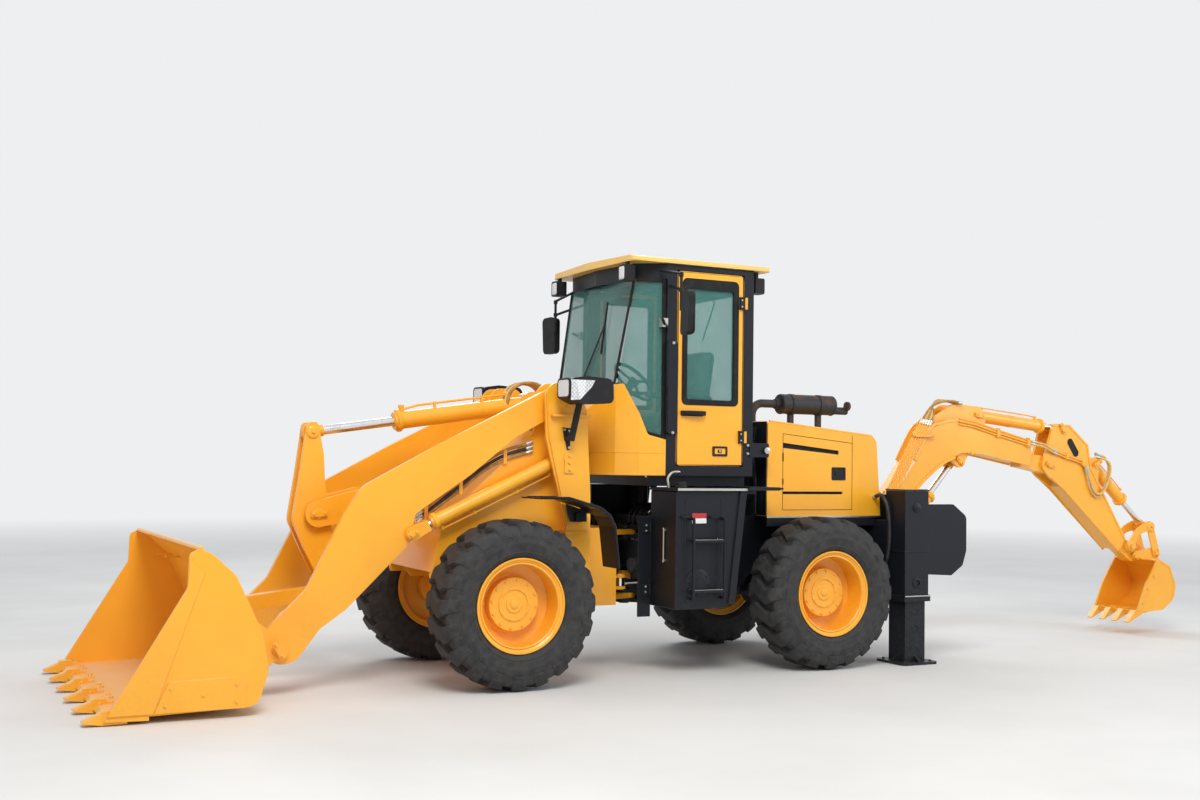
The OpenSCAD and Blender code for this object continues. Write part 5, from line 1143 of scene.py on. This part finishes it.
def dress_bucket():
    shell = Piece()
    shell.plate([(4839, 58), (5098, 58), (4655, 800), (4648, 960), (4560, 880)], 11, wall(1151))
    shell.plate([(4295, 58), (4835, 58), (4752, 238), (4322, 250), (4290, 214)], 9, wall(1149))
    shell.run([(4835, 1140, 62), (4556, 1140, 884)], bar(3, 5), FORWARD)
    shell.run([(4300, 1142, 215), (4324, 1142, 252), (4752, 1142, 240)], 4)
    for x, z in ((4350, 100), (4350, 205), (4550, 150), (4740, 200), (4770, 100)):
        shell.bolt((x, 1149, z), LEFT, 16, x)
    shell.both_sides()
    # A pipe along the upper edge and stiffeners on the back
    shell.run([(4584, -1138, 1030), (4584, 1138, 1030)], 15)
    for y in (-830, -560, 560, 830):
        shell.run([(4492, y, 868), (4350, y, 855), (4185, y, 510), (4142, y, 290), (4190, y, 90)],
                  bar(9, 14), LEFT)
    # Weld beads at the ears
    for plate_y in (449, 497, 547, 595):
        for y in (plate_y, -plate_y):
            shell.run([(4292, y, 650), (4175, y, 400), (4165, y, 200), (4215, y, 75)], 6)
    # Bolts of the cutting edge, between the teeth
    for k in range(5):
        y = -1080 + (k + 0.5) * 432
        for dy in (-60, 60):
            shell.bolt((4985, y + dy, 56), UP, 26, k)
    shell.finish("bucket_plates", yellow, "loader_bucket", edge=2)
    pins = Piece()
    for y, outward in ((425, -1), (619, 1)):
        keeper(pins, *BUCKET_PIN, y, 60, 44, outward)
    pins.both_sides().finish("bucket_pin_keepers", yellow, "loader_bucket", edge=1)
    tooth = Piece()
    for k in range(6):
        y = -1080 + k * 432
        tooth.skin([[(x, y + a, z + b) for a, b in bar(w, h)]
                    for x, z, w, h in ((5040, 60, 46, 36), (5120, 58, 44, 34), (5132, 50, 34, 24),
                                       (5226, 30, 22, 6))])
        tooth.turned([(9, -52), (9, 52)], facing((5078, y, 62), LEFT), 12)
    tooth.finish("bucket_tooth_caps", yellow, "loader_bucket", edge=3)


def dress_front():
    lens, bowl, rim, bracket, screws = Piece(), Piece(), Piece(), Piece(), Piece()
    # Headlamps: clear lens over two bowls, in a rim, on an arm with a three-screw bracket
    for y, z, r in ((765, 2110, 46), (840, 2108, 50)):
        bowl.turned([(r, 0), (r * 0.9, -16), (r * 0.5, -26), (6, -28), (6, -6), (0, -4)],
                    facing((1996, y, z), FORWARD), 28)
    lens.plate(rounded_box(712, 2050, 888, 2172, 26), 5, across(1998))
    lens.plate([(1990, 2172), (1795, 2172), (1825, 2120), (1915, 2028), (1990, 2024)], 4, wall(900))
    rim.plate(rounded_box(700, 2038, 900, 2184, 34), 18, across(1986),
              [rounded_box(714, 2052, 886, 2170, 24)])
    bracket.plate([(1918, 1836), (1852, 1826), (1860, 1672), (1880, 1670)], 8, wall(628))
    bracket.plate([(1918, 1836), (1852, 1830), (1862, 1738), (1902, 1738)], 14, wall(622))
    for x, z in ((1905, 1818), (1867, 1810), (1868, 1688)):
        screws.bolt((x, 628, z), LEFT, 16, x)
    for piece in (lens, bowl, rim, bracket, screws):
        piece.both_sides()
    lens.finish("headlamp_lenses", lens_clear, "front", edge=1.5)
    bowl.finish("headlamp_bowls", mirror_glass, "front", "steel_rod")
    rim.finish("headlamp_rims", plastic, "front", edge=3)
    bracket.finish("headlamp_brackets", black, "front", edge=1)
    screws.finish("headlamp_screws", zinc, "front")
    # Guards over the front wheels: rolled edge and hook bracket
    guard = Piece()
    path = [(2245, 1334), (2028, 1334), (1780, 1264), (1700, 1207), (1660, 1132), (1622, 830)]
    guard.run([(x, 978, z) for x, z in path], 7)
    guard.run([(x, 738, z) for x, z in path], 6)
    guard.block((1790, 620, 1150), (1830, 700, 1215))
    guard.both_sides().finish("guard_edges", black, "front", edge=1)


# ---------------------------------------------------------------- frames and machinery
def dress_frames():
    # Propeller shaft with its joints, one half on each frame
    for body, x0, x1 in (("front", 1100, 2190), ("rear", 420, 1010)):
        shaft = Piece()
        shaft.turned([(34, 40), (34, x1 - x0 - 40)], facing((x0, 0, SHAFT_Z), FORWARD), 24)
        for x in (x0 + 20, x1 - 60):
            shaft.turned([(58, 0), (58, 14), (44, 18), (44, 34), (58, 38), (58, 50)],
                         facing((x, 0, SHAFT_Z), FORWARD), 24)
            for y, z, a in ring_of(6, 50, 0.3):
                shaft.bolt((x + 50, y, SHAFT_Z + z), FORWARD, 12, a)
        shaft.finish(f"propeller_shaft_{body}", casting, body)
    # Gearbox under the cab
    box = Piece()
    box.block((300, -165, 560), (760, 165, 1060))
    box.turned([(190, 0), (200, 20), (200, 60), (150, 90), (150, 140), (90, 160), (0, 160)],
               facing((756, 0, 800), FORWARD), 32)
    for x, z, a in ring_of(10, 176, 0.1):
        box.bolt((816, x, 800 + z), FORWARD, 18, a)
    for x in (380, 500, 620):
        box.block((x, -173, 600), (x + 24, 173, 1030))
    box.finish("gearbox", casting, "rear", edge=6)
    # Hose bundles over the steering hinge's rear side and along the frame
    for k in range(5):
        y = -160 + 80 * k
        free_hose(f"frame_hose_{k}", hose, "rear", 13,
                  [(x, y * spread, z) for x, spread, z in (
                      (500, 1, 1188), (640, 1.05, 1240), (780, 1.1, 1245), (900, 1, 1200), (930, 0.9, 1100),
                      (935, 0.9, 980))])
    for k, y in enumerate((-120, -40, 40, 120)):
        free_hose(f"tower_feed_{k}", hose, "front", 13, [
            (x, y * spread, z) for x, spread, z in (
                (1330, 1, 960), (1310, 1, 1130), (1420, 1.3, 1250), (1640, 1.5, 1380), (1900, 1.5, 1600),
                (2090, 1.5, 1735))])
    # Valve chest on the front frame, with its screws
    valve = Piece()
    for k in range(5):
        valve.block((1480 + 62 * k, -150, 1096), (1534 + 62 * k, 150, 1240))
        for y in (-110, 0, 110):
            valve.bolt((1507 + 62 * k, y, 1240), UP, 22, y)
    valve.block((1470, -165, 1088), (1800, 165, 1100))
    valve.finish("valve_chest", casting, "front", edge=3)
    # Seams, hinges and latch of the hood's side doors; mesh behind its grille and slots
    seam, black_bits, mesh = Piece(), Piece(), Piece()
    for x in (-58, -745):
        seam.run([(x, HOOD_SEAM_Y, 1225), (x, HOOD_SEAM_Y, 1832)], bar(0.8, 2), FORWARD)
    for front_z, rear_z in ((1225, 1225), (1832, 1768)):
        seam.run([(-58, HOOD_SEAM_Y, front_z), (-745, HOOD_SEAM_Y, rear_z)], bar(0.8, 2))
    black_bits.plate(rounded_box(-677, 1465, -538, 1570, 10), 5, wall(585),
                     [rounded_box(-662, 1480, -553, 1555, 8)])
    black_bits.plate(rounded_box(-664, 1478, -551, 1557, 6), 3, wall(581.5))
    black_bits.block((-640, 578, 1500), (-575, 588, 1535))
    for z0, z1 in ((1428, 1474), (1612, 1680)):
        black_bits.block((-62, 578, z0), (-54, 586, z1))
    mesh.plate([(-40, 1722), (-40, 1786), (-630, 1728), (-630, 1662)], 2, wall(562))
    mesh.plate([(-40, 1340), (-40, 1382), (-665, 1382), (-665, 1340)], 2, wall(562))
    seam.both_sides()
    black_bits.both_sides()
    mesh.both_sides()
    for i in range(6):
        for k in range(20):
            mesh.block((-1012, -395 + 40 * k, 1268 + i * 75), (-1006, -389 + 40 * k, 1308 + i * 75))
    mesh.block((-1004, -420, 1240), (-1000, 420, 1700))
    seam.finish("hood_seams", lip_black, "rear")
    black_bits.finish("hood_latches", plastic, "rear", edge=1.5)
    mesh.finish("hood_mesh", lip_black, "rear")
    # Black machinery between the cab and the hood: panel, two blocks and hoses
    panel = Piece()
    panel.block((94, -575, 1180), (100, 575, 1926))
    for y in (-320, 320):
        panel.block((100, y - 70, 1300), (135, y + 70, 1820))
    for y in (-180, -60, 60, 180, 450, -450):
        panel.run(bend_through([(112, y, 1190), (128, y * 1.05, 1450), (118, y * 0.9, 1700),
                                (104, y * 0.95, 1880)], 60), 14)
    panel.finish("machinery_panel", black, "rear", edge=1)
    # Roll along the hood's upper corners, lifting eyes and the deck's bright edge
    roll = Piece()
    roll.run([(70, 574, 1930), (-945, 574, 1834), (-992, 574, 1778)], 9).both_sides()
    for x in (-120, -820):
        roll.turned([(30, -8), (36, 0), (30, 8), (24, 0)], facing((x, 0, 1945 + (x - 86) * 0.095), LEFT), 24,
                    loop=True)
    roll.finish("hood_rolls", yellow, "rear")
    deck = Piece()
    deck.block((-1030, 579, 1162), (92, 583, 1176)).both_sides()
    deck.block((-1044, -580, 1162), (-1040, 580, 1176))
    deck.finish("deck_edges", zinc, "rear", edge=1)
    # Muffler: bands, seam, clamp and the tail pipe's rim
    pipe = Piece()
    at = facing((-775, 250, 2085), FORWARD)
    pipe.turned([(80, -6), (84, 0), (84, 10), (80, 14), (64, 16)], at, 36)
    pipe.turned([(80, 506), (84, 512), (84, 522), (78, 528), (60, 530)], at, 36)
    pipe.turned([(38, -150), (38, -128), (33, -126)], at @ shift_by(40, 0, 0), 24)
    pipe.turned([(41, 545), (41, 575), (35, 577)], at, 24)
    pipe.bolt((-215, 250, 2130), UP, 14)
    pipe.run([(-760, 250, 2166), (-270, 250, 2166)], [(-3, -2), (3, -2), (2, 2), (-2, 2)])
    for x in (-640, -360):
        for s in (-1, 1):
            pipe.bolt((x, 250 + s * 30, 2002), UP, 14)
    pipe.finish("muffler_bands", muffler_paint, "rear")
    # Radiator seen through the grille
    core = Piece()
    for k in range(40):
        core.block((-978, -360 + 18 * k, 1240), (-952, -352 + 18 * k, 1720))
    core.finish("radiator_fins", casting, "rear")


# ---------------------------------------------------------------- backhoe
def dress_backhoe():
    for name, (a, b), at in (("boom", BOOM_CYL, 740), ("dipper", DIPPER_CYL, 850),
                             ("bucket", BUCKET_CYL, 570)):
        piece = Piece()
        gland(piece, a, b, 0, at, 55, 28)
        place = aimed(a, b, 0)
        side = 1 if name != "boom" else -1
        for spot in (95, at - 90):
            piece.turned([(13, 53), (13, 68), (17, 70), (17, 84), (10, 88), (0, 88)],
                         place @ shift_by(0, 0, spot) @ turn_by(-90 * side, "X"), 12)
        piece.run([place @ Vector((0, side * u, z)) for u, z in (
            (78, 110), (82, 150), (82, at - 150), (76, at - 100))], 7)
        piece.turned([(56.5, at * 0.5), (56.5, at * 0.5 + 14)], place, 30)
        piece.finish(f"{name}_cylinder_fittings", yellow_tube, f"{name}_cyl_barrel")
    # Boom: flange strips along both edges, five pipes up its side to the hump, then three tubes to the nose
    boom = Piece()
    top = [(-1790, 1640), (-1965, 1925), (-2080, 1975), (-2222, 2003), (-2453, 1990), (-3150, 1832)]
    low = [(-1560, 1062), (-1700, 1230), (-1814, 1392), (-2020, 1560), (-2148, 1634), (-2250, 1676)]
    belly = [(-2440, 1712), (-2557, 1717), (-3150, 1618)]
    for edge in (top, low, belly):
        boom.run([(x, 128, z) for x, z in flowing_flat(edge)], bar(5, 13), UP)
    boom.both_sides()
    tubes = Piece()
    for k in range(5):
        off = 26 * k
        path = [(-1440 - off, PIPE_Y, 1330 - 3 * k), (-1540 - off, PIPE_Y, 1480),
                (-1775 - off * 1.02, PIPE_Y, 1876 - 4 * k), (-1850 - off, PIPE_Y, 1975 - 4 * k)]
        tubes.run(bend_through(path, 120), 9.5)
    boom.block((-1985, 126, 1846), (-1745, 158, 1868))
    boom.bolt((-1765, 158, 1857), LEFT, 14).bolt((-1965, 158, 1857), LEFT, 14)
    bead(boom, 84, (4, 7), (DIPPER_PIVOT[0], 60, DIPPER_PIVOT[1]))
    for dz in (0, 24, 48):
        tubes.run(bend_through([(x, PIPE_Y, z - dz) for x, z in (
            (-2290, 2020), (-2460, 1998), (-2753, 1926), (-3180, 1832))], 80), 8)
    for x, z in ((-2753, 1902), (-3120, 1822)):
        boom.block((x - 16, 124, z - 42), (x + 16, 150, z + 44))
        boom.bolt((x, 150, z - 30), LEFT, 14).bolt((x, 150, z + 34), LEFT, 14)
    for x, z in (BOOM_FOOT, BOOM_CYL[1]):
        nipple(boom, (x + 20, 0, z + (96 if z < 1200 else 60)), UP)
    keeper(boom, *DIPPER_CYL[0], 98, 10, 34)
    keeper(boom, *BOOM_CYL[1], 102, 40, 30)
    boom.finish("boom_strips", yellow, "backhoe_boom")
    tubes.finish("boom_pipes", yellow_tube, "backhoe_boom")
    for k in range(5):
        y = 110 - 18 * k
        free_hose(f"hump_hose_{k}", pale_hose if k % 2 else brown_hose, "backhoe_boom", 11,
                  [(-1850 - 26 * k, PIPE_Y, 1975 - 4 * k), (-1905 - 22 * k, 132, 2050),
                   (-1985 - 16 * k, y + 14, 2125), (-2110, y + 6, 2168 + 3 * k), (-2230, y, 2178),
                   (-2330, y + 6, 2160)])
    # Dipper: edge strips, rim of the oval hole, tubes and pin keepers
    dipper = Piece()
    for edge in ([(-3480, 1990), (-3690, 1992), (-3930, 1806), (-3966, 1602), (-4432, 902)],
                 [(-3470, 1500), (-3640, 1380), (-4340, 800)]):
        dipper.run([(x, 93, z) for x, z in edge], bar(4, 10), UP)
    oval, hole = shift_by(-3738, 0, 1784) @ turn_by(36, "Y"), rounded_box(-38, -98, 38, 98, 37)
    dipper.plate(rounded_box(-45, -105, 45, 105, 44), 5, oval @ wall(94.5), [hole])
    dipper.both_sides()
    for pin, y, a in ((DIPPER_PIVOT, 104, 20), (DIPPER_CYL[1], 104, 60), (BUCKET_CYL[0], 110, -30)):
        keeper_pair(dipper, pin, y, a, 34)
    for dz in (0, 22):
        dipper.run(bend_through([(-3500, 112, 1747 - dz), (-3600, 112, 1718 - dz), (-3840, 112, 1660 - dz),
                                 (-3905 + dz, 112, 1590)], 60), 8)
    for x, z in ((-3640, 1698), (-3850, 1640)):
        dipper.block((x - 14, 92, z - 24), (x + 14, 124, z + 30))
    bead(dipper, 52, (6, 8), (ROCKER_PIVOT[0], 93, ROCKER_PIVOT[1]), 32)
    dipper.finish("dipper_strips", yellow, "dipper")
    for k, dz in enumerate((0, 24)):
        free_hose(f"nose_hose_{k}", pale_hose, "backhoe_boom", 10,
                  [(-3178, PIPE_Y, 1832 - dz), (-3240, 138, 1822 - dz), (-3330, 134, 1806 - dz),
                   (-3420, 120, 1774 - dz), (-3502, 112, 1747 - dz)])
    # A thin black sheet fills the oval hole on both sides: painted shade for the dark inside of the dipper
    slot = Piece().plate(hole, 1.5, oval @ wall(94))
    slot.both_sides().finish("dipper_oval_painted_shade", lip_black, "dipper")
    for k, (sag, y) in enumerate(((0, 112), (26, 90))):
        free_hose(f"dipper_loop_{k}", pale_hose, "dipper", 12,
                  [(-3905 + 22 * k, 112, 1592), (-3935, y + 10, 1480 - sag), (-3985, y + 16, 1372 - sag),
                   (-4060, y + 18, 1345 - sag), (-4130, y + 16, 1400), (-4190, y + 12, 1520),
                   (-4205, y + 6, 1620), (-4165, y - 6, 1672 + sag), (-4100, y - 22, 1690 + sag),
                   (-4062, 76, 1700 + sag)])
    # Crescent rocker arms in place of the straight ones
    rocker = Piece()
    a, b = Vector(ROCKER_PIVOT), Vector(ROCKER_TOP)
    along = (b - a).normalized()
    out = Vector((along.y, -along.x))
    if out.y < 0:
        out = -out
    middle = (a + b) / 2
    outer = [a - along * 44 - out * 8, a - along * 34 + out * 34, a + out * 58, middle + out * 92,
             b + out * 62, b + along * 34 + out * 32, b + along * 46 - out * 8]
    inner = [b + along * 30 - out * 40, b - out * 46, b - along * 30 - out * 30, middle + out * 22,
             a + along * 34 - out * 28, a - out * 46, a - along * 32 - out * 38]
    rows = smooth_loop(outer + inner)
    rocker.plate(rows, 20, wall(104))
    for x, z in (tuple(a), tuple(b)):
        rocker.turned([(48, 84), (48, 107), (40, 112), (24, 113), (0, 113)], facing((x, 0, z), LEFT), 30)
        rocker.bolt((x, 113, z), LEFT, 20)
    rocker.both_sides()
    made = rocker.finish("rocker_arms", yellow, "bucket_rocker", edge=2)
    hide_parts("bucket_rocker")
    link = Piece()
    for x, z in (ROCKER_TOP, BH_LINK_PIN):
        link.turned([(46, 74), (46, 92), (38, 96), (0, 96)], facing((x, 0, z), LEFT), 28)
    link.both_sides().finish("link_bosses", yellow, "rocker_link")
    # Digging bucket: side cutters, weld beads, wear strips and pointed teeth
    scoop = Piece()
    scoop.plate([(-4402, 228), (-4520, 480), (-4684, 716), (-4722, 690), (-4560, 470), (-4450, 228)], 8,
                wall(269))
    for x, z in ((-4470, 300), (-4540, 440), (-4620, 560)):
        scoop.bolt((x, 269, z), LEFT, 18, z)
    scoop.run([(-4690, 262, 716), (-4850, 262, 640), (-4920, 262, 470), (-4884, 262, 330), (-4760, 262, 240),
               (-4480, 262, 224)], bar(4, 9))
    scoop.both_sides()
    for y in (-130, 130):
        scoop.run([(-4890, y, 330), (-4760, y, 236), (-4480, y, 222)], bar(14, 4), LEFT)
    for y in (-226, -75, 75, 226):
        scoop.skin([[(x, y + a, z + b) for a, b in bar(w, h)]
                    for x, z, w, h in ((-4480, 222, 36, 26), (-4402, 206, 34, 24), (-4384, 190, 27, 20),
                                       (-4302, 132, 16, 6))])
    for pin in (BH_BUCKET_PIN, BH_LINK_PIN):
        keeper_pair(scoop, pin, 90, 30, 26)
    scoop.finish("digging_bucket_plates", yellow, "backhoe_bucket", edge=1.5)
    # Swing post: grease nipple and keeper plates
    post = Piece()
    keeper_pair(post, BOOM_FOOT, 164, 30, 36)
    keeper(post, *BOOM_CYL[0], 104, 40, 32)
    nipple(post, (-1390, 78, 860), LEFT)
    post.finish("swing_post_fittings", zinc, "swing_post")
    # Frame of the backhoe: collar lines, pin holes and the bright plates and screws
    frame_bits, bright = Piece(), Piece()
    for z in (900, 1395):
        frame_bits.run([(-1236, 828, z), (-1236, 953, z), (-990, 953, z), (-990, 708, z)], bar(3, 5))
    for z in (647, 1252):
        frame_bits.turned([(40, -2), (40, 6), (28, 8), (27, -14)], facing((-1113, 950, z), LEFT), 30)
    frame_bits.turned([(27, 0), (27, 30), (34, 32), (34, 42), (20, 46), (0, 46)],
                      facing((-1113, 922, 1252), LEFT), 24)
    frame_bits.both_sides().finish("sleeve_fittings", black, "rear", edge=1)
    bright.block((-1242, 696, 540), (-984, 966, 548)).both_sides()
    bright.block((-1180, -720, 1349), (-1080, 720, 1353))
    for k in range(6):
        bright.bolt((-1183, -300 + 120 * k, 1250), (-1, 0, 0), 26, k)
    bright.finish("backhoe_frame_bright", zinc, "rear", edge=1)
    lug = Piece()
    lug.plate([(-1300, 1372), (-1330, 1385), (-1378, 1372), (-1382, 1206), (-1296, 1206)], 24, wall(312))
    lug.finish("hose_guard", yellow, "rear", edge=2)
    for k in range(5):
        y = 60 + 22 * k
        free_hose(f"boom_feed_{k}", brown_hose if k % 2 else pale_hose, "rear", 11,
                  [(-1184, y + 40, 1240), (-1260, y + 44, 1330 + 6 * k), (-1330, y + 40, 1345 + 6 * k),
                   (-1400, y + 30, 1290), (-1420, y + 20, 1200), (-1400, y + 10, 1120)])
    for side, s in SIDES:
        free_hose(f"sleeve_hose_{side}", hose, "rear", 16,
                  [(x, s * y, z) for x, y, z in (
                      (-975, 560, 1320), (-962, 690, 1345), (-968, 760, 1250), (-975, 778, 1080),
                      (-970, 770, 900), (-975, 720, 780), (-975, 600, 730))])
        leg = Piece()
        for z in (120, 283, 420):
            leg.turned([(30, -1), (33, 2), (28, 4), (27, -8)], facing((-1113, 930, z), LEFT), 26)
        for x in (-1245, -981):
            for y in (700, 960):
                leg.bolt((x, y, 20), UP, 20, x)
        leg.run([(-1210, 733, 24), (-1016, 733, 24), (-1016, 927, 24), (-1210, 927, 24), (-1210, 733, 24)], 5)
        leg.on_side(s).finish(f"stabiliser_fittings_{side}", black, f"stabiliser_{side}")


aim_camera()
light_studio()
paint_nodes()
lay_floor()
dress_wheels()
dress_seat()
dress_doors()
dress_cab()
dress_tanks()
dress_loader()
dress_bucket()
dress_front()
dress_frames()
dress_backhoe()
nodes["loader_bucket"].data.materials[0] = yellow_worked
